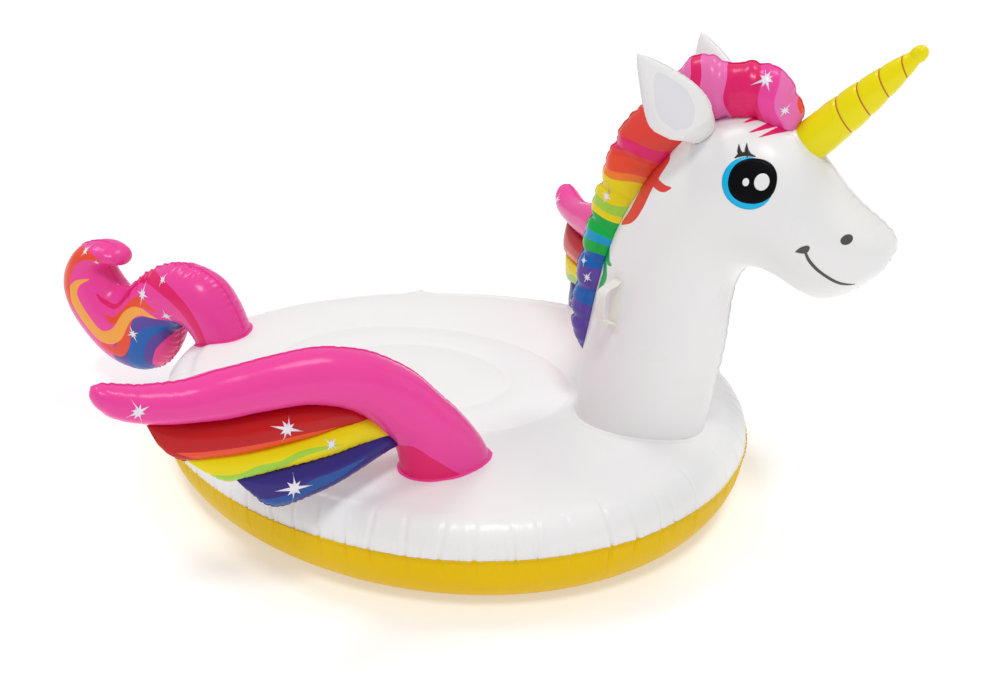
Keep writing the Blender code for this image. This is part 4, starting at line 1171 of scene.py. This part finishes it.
TAIL_PUCKERS = (
    (UPPER, 0.10, 0.46, 0.025, 0.0046, 0.0052, 0.085),
    (UPPER, 0.46, 0.80, 0.036, 0.0080, 0.0095, 0.130),
    (LOWER, 0.12, 0.42, 0.026, 0.0060, 0.0070, 0.100),
    (LOWER, 0.42, 0.96, 0.024, 0.0048, 0.0052, 0.080),
)
TAIL_STROKES = {
    "scarlet": ((((-1.330, 0.545), (-1.400, 0.560), (-1.455, 0.540), (-1.490, 0.480),
                  (-1.500, 0.400), (-1.480, 0.330)), (0.002, 0.016, 0.024, 0.026, 0.022, 0.004)),),
    "orange": ((((-1.388, 0.470), (-1.440, 0.450), (-1.462, 0.400), (-1.420, 0.322),
                 (-1.350, 0.262), (-1.275, 0.280), (-1.215, 0.360), (-1.150, 0.392),
                 (-1.075, 0.376)),
                (0.001, 0.012, 0.022, 0.026, 0.026, 0.026, 0.022, 0.014, 0.002)),),
    "red": ((((-1.350, 0.225), (-1.285, 0.205), (-1.238, 0.262), (-1.225, 0.330),
              (-1.190, 0.400), (-1.142, 0.424), (-1.070, 0.402)),
             (0.012, 0.022, 0.026, 0.026, 0.026, 0.016, 0.002)),),
    "rear_red": ((((-1.330, 0.350), (-1.290, 0.330), (-1.255, 0.350), (-1.225, 0.400)),
                  (0.001, 0.012, 0.014, 0.002)),),
    "crimson": ((((-1.370, 0.418), (-1.338, 0.390), (-1.285, 0.378), (-1.239, 0.425),
                  (-1.205, 0.480), (-1.129, 0.508), (-1.040, 0.492), (-0.962, 0.444),
                  (-0.912, 0.376), (-0.872, 0.270)),
                 (0.002, 0.007, 0.008, 0.010, 0.014, 0.018, 0.020, 0.020, 0.019, 0.016)),),
    "blue": ((((-1.000, 0.348), (-1.056, 0.338), (-1.130, 0.312), (-1.185, 0.245),
               (-1.215, 0.175), (-1.232, 0.095)), (0.003, 0.012, 0.021, 0.028, 0.032, 0.032)),),
}
TAIL_VIOLET = ((-1.350, 0.060), (-1.320, 0.170), (-1.290, 0.235), (-1.246, 0.285),
               (-1.200, 0.345), (-1.140, 0.375), (-1.060, 0.372), (-1.000, 0.350),
               (-0.960, 0.200), (-1.000, 0.020), (-1.200, -0.02), (-1.350, 0.060))
TAIL_FOOT = ((-0.70, 0.10), (-0.70, 0.34), (-1.010, 0.340), (-1.070, 0.292), (-1.120, 0.240),
             (-1.165, 0.160), (-1.170, 0.05))
TAIL_LAYERS = (("violet", VIOLET), ("blue", BLUE), ("pink_foot", HOT_PINK), ("crimson", CRIMSON),
               ("rear_red", SCARLET), ("red", SCARLET), ("orange", AMBER), ("scarlet", SCARLET))


def build_tail(deck):
    skin = inflate(CENTRE_PLANE, TAIL, 150, (0.20, 0.003, 51), TAIL_PUCKERS, spacing=0.0042)
    flatten_at(skin, "tail_valve")
    hidden = trim(skin, deck, UP, rows=110)
    print_strokes(skin, TAIL_STROKES)
    skin.fields["violet"] = polygon_field(skin.flat, catmull(TAIL_VIOLET, 5))
    skin.fields["pink_foot"] = polygon_field(skin.flat, TAIL_FOOT)
    material = vinyl("tail_pink", overprint(HOT_PINK, TAIL_LAYERS), roughness=0.22)
    obj = skin_object("tail_skin", skin, material, hidden, valve="tail_valve")
    attach(obj, "tail_pink", "tail_panel_left", "tail_panel_right")
    trimmings = vinyl("tail_trim", HOT_PINK)
    foot_weld("tail_foot_weld", skin, hidden, deck, UP, 0.010, trimmings, "tail_pink",
              "tail_base_flange")
    seam_weld("tail_seam_upper", skin, UPPER, 0.12, 0.97, trimmings, "tail_pink")
    seam_weld("tail_seam_lower", skin, LOWER, 0.14, 0.97, trimmings, "tail_pink")


ARM_PUCKERS = (
    (UPPER, 0.16, 0.97, 0.050, 0.0024, 0.0065, 0.055),
    (LOWER, 0.20, 0.97, 0.040, 0.0026, 0.0060, 0.045),
    (UPPER, 0.84, 0.985, 0.024, 0.0034, 0.0055, 0.070),
)
ARM_CORNER = ((0.165, 0.105), (0.135, 0.108), (0.095, 0.070), (0.040, 0.020), (-0.040, -0.060),
              (0.0, -0.17), (0.22, -0.17), (0.165, 0.105))
FEATHER_PUCKERS = ((LOWER, 0.10, 0.95, 0.028, 0.0032, 0.0042, 0.045),)
# Each feather's colour, and the colour, line and half widths of the stroke printed on it
FEATHER_PRINTS = {
    "red": (RED, SCARLET, ((0.350, 0.222), (0.440, 0.226), (0.540, 0.234), (0.640, 0.246),
                           (0.730, 0.262), (0.800, 0.290)),
            (0.002, 0.011, 0.013, 0.014, 0.012, 0.002)),
    "yellow": (YELLOW, LIME, ((0.715, 0.186), (0.650, 0.170), (0.590, 0.178), (0.530, 0.174),
                              (0.455, 0.186), (0.330, 0.172)),
               (0.012, 0.014, 0.014, 0.012, 0.009, 0.002)),
    "indigo": (INDIGO, DEEP_BLUE, ((0.610, 0.076), (0.530, 0.068), (0.441, 0.086),
                                   (0.372, 0.092), (0.270, 0.112)),
               (0.012, 0.016, 0.017, 0.013, 0.002)),
}


def build_wing(side, word, deck):
    """A wing: its arm, which stands on the deck, and the feathers that hang from it."""
    skin = inflate(WING_PLANE[side], WING_ARM, 150, (0.20, 0.0035, 61 + side), ARM_PUCKERS)
    valve = f"wing_valve_{word}"
    flatten_at(skin, valve)
    hidden = trim(skin, deck, UP, rows=70)
    skin.fields["crimson"] = polygon_field(skin.flat, catmull(ARM_CORNER, 5))
    material = vinyl(f"wing_pink_{word}", overprint(HOT_PINK, (("crimson", CRIMSON),)))
    obj = skin_object(f"wing_arm_skin_{word}", skin, material, hidden, valve=valve)
    attach(obj, "wing_pink", f"wing_arm_{word}")
    trimmings = vinyl(f"wing_trim_{word}", HOT_PINK)
    foot_weld(f"wing_foot_weld_{word}", skin, hidden, deck, UP, 0.010, trimmings, "wing_pink",
              f"wing_base_flange_{word}")
    seam_weld(f"wing_seam_{word}", skin, UPPER, 0.18, 0.985, trimmings, "wing_pink",
              width=0.0040)
    for colour in FEATHERS:
        build_feather(colour, side, word, deck)


def build_feather(colour, side, word, deck):
    ink, accent, line, widths = FEATHER_PRINTS[colour]
    slot = f"feather_{colour}"
    raised = [(a, b + FEATHER_TUCK, c, d, depth) for a, b, c, d, depth in FEATHERS[colour]]
    skin = inflate(WING_PLANE[side], raised, 64, (0.12, 0.0018, 71 + side), FEATHER_PUCKERS,
                   spacing=0.0050)
    hidden = trim(skin, deck, UP)
    print_strokes(skin, {"accent": ((line, widths),)})
    material = vinyl(f"{slot}_{word}", overprint(ink, (("accent", accent),)), roughness=0.22)
    obj = skin_object(f"{slot}_skin_{word}", skin, material, hidden, tip=False)
    attach(obj, slot, f"wing_{slot}_{word}")
    seam_weld(f"{slot}_root_{word}", skin, UPPER, 0.02, 0.97, vinyl(f"{slot}_root_{word}", ink),
              slot, width=0.011, wobble=0.0003)
    seam_weld(f"{slot}_seam_{word}", skin, LOWER, 0.05, 0.95, vinyl(f"{slot}_trim_{word}", ink),
              slot)


def build_horn(head):
    """The horn, swelling between the turns of its notched and printed line, and its collar."""
    lean = math.radians(HORN_LEAN_DEG)
    axis = np.array((math.cos(lean), 0.0, math.sin(lean)))
    up = np.array((-math.sin(lean), 0.0, math.cos(lean)))
    side = np.array((0.0, -1.0, 0.0))
    profile = even(catmull(HORN_PROFILE, 12), 0.0024, lambda rows: rows)
    s = profile[:, 0][:, None]
    plain_radius = profile[:, 1][:, None]
    angles = 2.0 * math.pi * np.arange(96) / 96.0
    turns = (s - HORN_FIRST_LINE) / HORN_PITCH + angles[None, :] / (2.0 * math.pi)
    phase = turns - np.floor(turns)
    gap = np.minimum(phase, 1.0 - phase) * HORN_PITCH
    notch = HORN_NOTCH * np.exp(-(gap / HORN_NOTCH_WIDTH) ** 2)
    swell = HORN_SWELL * np.sin(math.pi * phase) - notch
    fade = np.clip(turns + 0.28, 0.0, 0.10) * 10.0 * np.clip((HORN_LAST_LINE - s) / 0.02, 0.0, 1.0)
    radius = np.maximum(plain_radius + swell * (plain_radius / HORN_RADIUS) * fade, 0.0)
    radius[-1] = 0.0
    ring = up * np.cos(angles)[:, None] + side * np.sin(angles)[:, None]
    spine = np.array(HORN_BASE) + s * axis
    skin = Skin(spine[:, None, :] + radius[..., None] * ring[None, :, :], True, spine[:, None, :])
    hidden = rest_on(skin.points, head, axis, 0.5)
    hidden[len(hidden) // 2:] = False
    skin.fields["turn_sin"] = np.sin(2.0 * math.pi * turns)
    skin.fields["turn_cos"] = np.cos(2.0 * math.pi * turns)
    ending = (HORN_LAST_LINE + 0.002 - s) * 12.0
    skin.fields["lined"] = np.clip(np.minimum(turns + 0.5, ending) * 20.0, 0.0, 1.0)
    material = vinyl("horn_yellow", helix_lined(HORN_YELLOW, HORN_LINE), roughness=0.22)
    attach(skin_object("horn_skin", skin, material, hidden), "horn_yellow", "horn")
    foot_weld("horn_collar", skin, hidden, head, axis, 0.011, vinyl("collar_white", WHITE),
              "collar_white", "horn_weld_collar")


# ---------------------------------------------------------------- grab handles

PAD_HALF_X = 0.025
PAD_HALF_Y = 0.094
PAD_THICKNESS = 0.0017
PAD_RIM_THICKNESS = 0.0004
PAD_BEAD = 0.0009
PAD_RINGS = 9
PAD_SPOKES = 64
STRAP_HALF_WIDTH = 0.0175
STRAP_HALF_THICKNESS = 0.0021
STRAP_SIDES = 28
# Ribs on the strap: (distance from its middle, height, width)
STRAP_RIBS = ((0.0, 0.0011, 0.006), (0.0145, 0.0007, 0.002))
# The strap's route over its pad: (along the pad, off the pad)
HANDLE_STRAP = ((0.073, 0.0016), (0.066, 0.0040), (0.060, 0.014), (0.052, 0.043), (0.043, 0.057),
                (0.026, 0.062), (-0.024, 0.059), (-0.042, 0.053), (-0.051, 0.038),
                (-0.057, 0.014), (-0.063, 0.0040), (-0.070, 0.0016))


def build_handles(head):
    """On each side of the neck a welded pad with a beaded rim, and a strap that loops over it."""
    cream = vinyl("handle_cream", CREAM, roughness=0.33, wrinkle=0.06)
    bearing = math.radians(HANDLE_BEARING_DEG)
    for side, word in SIDES:
        out = Vector((math.cos(bearing), side * math.sin(bearing), 0.0))
        hit, normal, _, _ = head.ray_cast(Vector(HANDLE_INSIDE), out)
        if normal.dot(out) < 0.0:
            normal = -normal
        z_axis = normal.normalized()
        x_axis = Vector(UP).cross(z_axis).normalized()
        y_axis = z_axis.cross(x_axis).normalized()
        place = Matrix((x_axis, y_axis, z_axis)).transposed().to_4x4()
        place.translation = hit
        build_pad(word, place, z_axis, head, cream)
        build_strap(word, place, cream)


def build_pad(word, place, z_axis, head, material):
    name = f"handle_pad_skin_{word}"
    points = []
    for ring in range(PAD_RINGS + 1):
        share = ring / PAD_RINGS
        lift = PAD_THICKNESS if ring < PAD_RINGS else PAD_RIM_THICKNESS
        lift += PAD_BEAD * math.exp(-((share - 0.86) / 0.05) ** 2)
        for spoke in range(PAD_SPOKES):
            angle = 2.0 * math.pi * spoke / PAD_SPOKES
            x = squared(PAD_HALF_X, math.cos(angle), 0.5) * share
            y = squared(PAD_HALF_Y, math.sin(angle), 0.42) * share
            ground, _, _, _ = head.ray_cast(place @ Vector((x, y, 0.12)), -z_axis)
            ground = ground if ground is not None else place @ Vector((x, y, 0.0))
            points.append(ground + z_axis * lift)
    faces = [(r * PAD_SPOKES + i, r * PAD_SPOKES + (i + 1) % PAD_SPOKES,
              (r + 1) * PAD_SPOKES + (i + 1) % PAD_SPOKES, (r + 1) * PAD_SPOKES + i)
             for r in range(1, PAD_RINGS) for i in range(PAD_SPOKES)]
    faces += [(0, PAD_SPOKES + (i + 1) % PAD_SPOKES, PAD_SPOKES + i) for i in range(PAD_SPOKES)]
    mesh = bpy.data.meshes.new(name)
    mesh.from_pydata([tuple(p) for p in points], [], faces)
    pad = finish_mesh(name, mesh, material)
    drop_loose(pad)
    attach(pad, "handle_cream", f"handle_pad_{word}")


def build_strap(word, place, material):
    """A moulded strap: rounded edges, and raised ribs along its middle and its edges."""
    path = catmull([(y, z, 0.0) for y, z in HANDLE_STRAP], 8)[:, :2]
    tangent = np.gradient(path, axis=0)
    tangent /= np.linalg.norm(tangent, axis=1, keepdims=True)
    outward = np.column_stack([-tangent[:, 1], tangent[:, 0]])
    profile = []
    for index in range(STRAP_SIDES):
        angle = 2.0 * math.pi * index / STRAP_SIDES
        x = squared(STRAP_HALF_WIDTH, math.cos(angle), 0.45)
        lift = squared(STRAP_HALF_THICKNESS, math.sin(angle), 0.6)
        if math.sin(angle) > 0.0:
            for middle, height, width in STRAP_RIBS:
                lift += height * math.exp(-((abs(x) - middle) / width) ** 2)
        profile.append((x, lift))
    grid = np.array([[tuple(place @ Vector((x, y + out_y * lift, z + out_z * lift)))
                      for x, lift in profile]
                     for (y, z), (out_y, out_z) in zip(path, outward)])
    start, end = (grid[row:row + 1].mean(axis=1, keepdims=True).repeat(STRAP_SIDES, axis=1)
                  for row in (0, len(grid) - 1))
    grid = np.concatenate([start, grid, end], axis=0)
    skin = Skin(grid, True, grid.mean(axis=1)[:, None, :])
    attach(skin_object(f"handle_strap_skin_{word}", skin, material, root=True), "handle_cream",
           f"handle_strap_{word}")


def drop_loose(obj):
    """Delete the points that no face uses."""
    bm = bmesh.new()
    bm.from_mesh(obj.data)
    bmesh.ops.delete(bm, geom=[v for v in bm.verts if not v.link_faces], context="VERTS")
    bm.to_mesh(obj.data)
    bm.free()


# ---------------------------------------------------------------- prints on the skins

def build_face(head):
    """Eyes, nostrils and smile, printed on both cheeks."""
    black = vinyl("print_black", EYE_BLACK, roughness=0.30, coat=0.0, specular=0.06)
    blue = vinyl("print_blue", EYE_BLUE, roughness=0.2)
    white = vinyl("print_white", WHITE, roughness=0.25)
    grey = vinyl("print_grey", PRINT_GREY, roughness=0.3)
    lash = vinyl("print_lash", LASH, roughness=0.3)
    for side, word in SIDES:
        inward = (0.0, -float(side), 0.0)

        def patch(label, centre, outline_points, material, lift):
            obj = patch_film(f"{label}_{word}", head, CENTRE_PLANE, centre, outline_points,
                             inward, material, lift=lift)
            attach(obj, "head_white")

        def stroke(label, line, widths, material, lift):
            obj = stroke_film(f"{label}_{word}", head, CENTRE_PLANE, line, widths, inward,
                              material, lift=lift)
            attach(obj, "head_white")

        patch("eye_blue", (0.999, 1.138), blob_outline((1.001, 1.138), 0.070, 0.063, -32.0),
              blue, BASE_FILM)
        patch("eye_pupil", (1.012, 1.145), blob_outline((1.012, 1.145), 0.062, 0.056, 0.0, 2.2),
              black, MIDDLE_FILM)
        patch("eye_glint_large", (1.037, 1.146), blob_outline((1.037, 1.146), 0.019, 0.021),
              white, TOP_FILM)
        patch("eye_glint_small", (0.997, 1.143), blob_outline((0.997, 1.143), 0.0085, 0.010),
              white, TOP_FILM)
        patch("nostril", (1.259, 1.001), blob_outline((1.259, 1.001), 0.0145, 0.0125, 20.0),
              grey, LINE_FILM)
        stroke("lid", ((0.957, 1.197), (0.968, 1.205), (0.986, 1.209), (1.010, 1.205)),
               (0.001, 0.0042, 0.0045, 0.001), lash, TOP_FILM)
        stroke("lash_rear", ((0.974, 1.204), (0.965, 1.214), (0.960, 1.229)),
               (0.0060, 0.0050, 0.0006), lash, TOP_FILM)
        stroke("lash_front", ((0.993, 1.206), (0.984, 1.217), (0.980, 1.233)),
               (0.0060, 0.0050, 0.0006), lash, TOP_FILM)
        stroke("smile", ((1.163, 0.968), (1.175, 0.943), (1.196, 0.918), (1.222, 0.897),
                         (1.248, 0.880), (1.270, 0.873), (1.290, 0.872)),
               (0.003, 0.0042, 0.0044, 0.0044, 0.0044, 0.0036, 0.001), grey, LINE_FILM)
        patch("smile_corner", (1.158, 0.972), catmull(
            ((1.138, 0.965), (1.150, 0.978), (1.166, 0.985), (1.174, 0.979), (1.168, 0.965),
             (1.154, 0.962), (1.138, 0.965)), 5)[:-1], grey, MIDDLE_FILM)


# Stars: the piece they are named after, its skin, its slot and each (u, v, size, turn in degrees)
CENTRE_STARS = (
    ("tail", "tail_skin", "tail_pink", (
        (-1.407, 0.572, 0.024, 60.0), (-1.354, 0.538, 0.016, 80.0), (-1.057, 0.517, 0.025, 70.0),
        (-1.144, 0.453, 0.044, 85.0), (-1.036, 0.391, 0.032, 105.0),
        (-1.191, 0.299, 0.038, 110.0))),
    ("mane", "mane_skin", "mane_rainbow", (
        (0.575, 1.018, 0.026, 70.0), (0.508, 0.809, 0.018, 100.0), (0.526, 0.764, 0.024, 60.0))),
    ("forelock", "forelock_skin", "forelock_pink", (
        (1.002, 1.390, 0.042, 25.0), (1.058, 1.312, 0.022, 60.0))),
)
WING_STARS = (
    ("wing", "wing_arm_skin", "wing_pink", ((0.891, 0.440, 0.040, 75.0),)),
    ("feather_red", "feather_red_skin", "feather_red", ((0.500, 0.270, 0.052, 25.0),)),
    ("feather_yellow", "feather_yellow_skin", "feather_yellow", ((0.375, 0.184, 0.032, 50.0),)),
    ("feather_indigo", "feather_indigo_skin", "feather_indigo", ((0.500, 0.096, 0.056, 8.0),)),
)


def print_stars(name, host, plane, direction, stars, slot, material):
    tree = tree_of(bpy.data.objects[host])
    for index, (u, v, size, turn) in enumerate(stars):
        obj = patch_film(f"{name}_{index}", tree, plane, (u, v), star_outline((u, v), size, turn),
                         direction, material, MIDDLE_FILM, rings=3)
        attach(obj, slot)


def build_stars():
    """Stars on both sides of the tail and the hair, and on both faces of each wing."""
    lilac = vinyl("print_star", STAR_WHITE)
    for side, word in SIDES:
        inward = (0.0, -float(side), 0.0)
        for part, host, slot, stars in CENTRE_STARS:
            print_stars(f"{part}_star_{word}", host, CENTRE_PLANE, inward, stars, slot, lilac)
        wing = WING_PLANE[side]
        for outward, face in ((1.0, "front"), (-1.0, "back")):
            for part, host, slot, stars in WING_STARS:
                print_stars(f"{part}_star_{word}_{face}", f"{host}_{word}", wing,
                            tuple(-outward * wing.normal), stars, slot, lilac)


# ---------------------------------------------------------------- valves and hidden walls

def recolour_frame():
    """The valves and the hidden baffles keep their CAD shape, in vinyl of their own."""
    clear = vinyl("valve_clear", VALVE_CLEAR, roughness=0.16, wrinkle=0.02, coat=0.5)
    feed(clear, clear.node_tree.nodes["Principled BSDF"],
         {"Transmission Weight": 0.35, "IOR": 1.45})
    baffle = vinyl("baffle_white", WHITE, roughness=0.35)
    for name, obj in frame["nodes"].items():
        material = clear if "_valve" in name else baffle if "baffle" in name else None
        if material:
            obj.data.materials.clear()
            obj.data.materials.append(material)


# ---------------------------------------------------------------- studio

FLOOR_REACH = 30.0
FLOOR_STEPS = 24
FLOOR_Z = -0.0008
FLOOR_GREY = (0.70, 0.70, 0.705, 1.0)
PURE_WHITE = (1.0, 1.0, 1.0, 1.0)
# Lamps: name, energy, bearing (0 is +X, 90 is +Y), height and spread, in degrees
LAMPS = (("rear_left_light", 0.62, 165.0, 62.0, 18.0), ("rear_right_light", 0.55, 55.0, 58.0, 18.0),
         ("front_light", 1.02, -60.0, 63.0, 14.0))
CAMERA_TARGET = (0.0, 0.0, 0.421757)
CAMERA_DISTANCE = 4.206383
CAMERA_AZIMUTH_DEG = 26.985914
CAMERA_ELEVATION_DEG = 24.379525
CAMERA_ROLL_DEG = -1.399804
CAMERA_SENSOR_MM = 36.0
CAMERA_LENS_MM = 46.1373
CAMERA_SHIFT = (0.059924, -0.002144)


def build_floor():
    ticks = [-FLOOR_REACH + 2.0 * FLOOR_REACH * i / FLOOR_STEPS for i in range(FLOOR_STEPS + 1)]
    row = FLOOR_STEPS + 1
    faces = [(i * row + j, (i + 1) * row + j, (i + 1) * row + j + 1, i * row + j + 1)
             for i in range(FLOOR_STEPS) for j in range(FLOOR_STEPS)]
    mesh = bpy.data.meshes.new("studio_floor")
    mesh.from_pydata([(x, y, FLOOR_Z) for x in ticks for y in ticks], [], faces)
    material = bpy.data.materials.new("studio_white")
    material.use_nodes = True
    shader = material.node_tree.nodes["Principled BSDF"]
    shader.inputs["Base Color"].default_value = FLOOR_GREY
    shader.inputs["Emission Color"].default_value = PURE_WHITE
    shader.inputs["Emission Strength"].default_value = 0.38
    shader.inputs["Roughness"].default_value = 0.7
    shader.inputs["Specular IOR Level"].default_value = 0.2
    mesh.materials.append(material)
    floor = bpy.data.objects.new("studio_floor", mesh)
    bpy.context.scene.collection.objects.link(floor)


def build_light():
    """A white world and broad studio lamps."""
    world = bpy.data.worlds.new("studio_world")
    bpy.context.scene.world = world
    world.use_nodes = True
    background = world.node_tree.nodes["Background"]
    background.inputs["Color"].default_value = PURE_WHITE
    background.inputs["Strength"].default_value = 0.47
    bpy.context.scene.view_settings.view_transform = "Standard"
    for name, energy, bearing_deg, height_deg, spread_deg in LAMPS:
        light = bpy.data.lights.new(name, "SUN")
        light.energy = energy
        light.angle = math.radians(spread_deg)
        obj = bpy.data.objects.new(name, light)
        bearing, height = math.radians(bearing_deg), math.radians(height_deg)
        source = Vector((math.cos(bearing) * math.cos(height),
                         math.sin(bearing) * math.cos(height), math.sin(height)))
        obj.rotation_euler = source.to_track_quat("Z", "Y").to_euler()
        bpy.context.scene.collection.objects.link(obj)


def build_camera():
    azimuth = math.radians(CAMERA_AZIMUTH_DEG)
    elevation = math.radians(CAMERA_ELEVATION_DEG)
    roll = math.radians(CAMERA_ROLL_DEG)
    back = Vector((math.sin(azimuth) * math.cos(elevation),
                   -math.cos(azimuth) * math.cos(elevation), math.sin(elevation)))
    right = Vector((math.cos(azimuth), math.sin(azimuth), 0.0))
    above = right.cross(-back)
    axes = Matrix((right * math.cos(roll) + above * math.sin(roll),
                   above * math.cos(roll) - right * math.sin(roll), back)).transposed().to_4x4()
    axes.translation = Vector(CAMERA_TARGET) + back * CAMERA_DISTANCE
    data = bpy.data.cameras.new("studio_camera")
    data.sensor_width = CAMERA_SENSOR_MM
    data.lens = CAMERA_LENS_MM
    data.shift_x, data.shift_y = CAMERA_SHIFT
    camera = bpy.data.objects.new("studio_camera", data)
    bpy.context.scene.collection.objects.link(camera)
    camera.matrix_world = axes
    bpy.context.scene.camera = camera


# ---------------------------------------------------------------- put together


deck_tree = build_island()
head_tree = build_head(deck_tree)
build_lock("mane", head_tree)
build_lock("forelock", head_tree)
build_ears(head_tree)
build_tail(deck_tree)
for wing_side, wing_word in SIDES:
    build_wing(wing_side, wing_word, deck_tree)
build_horn(head_tree)
build_handles(head_tree)
build_face(head_tree)
build_stars()
recolour_frame()
build_floor()
build_light()
build_camera()
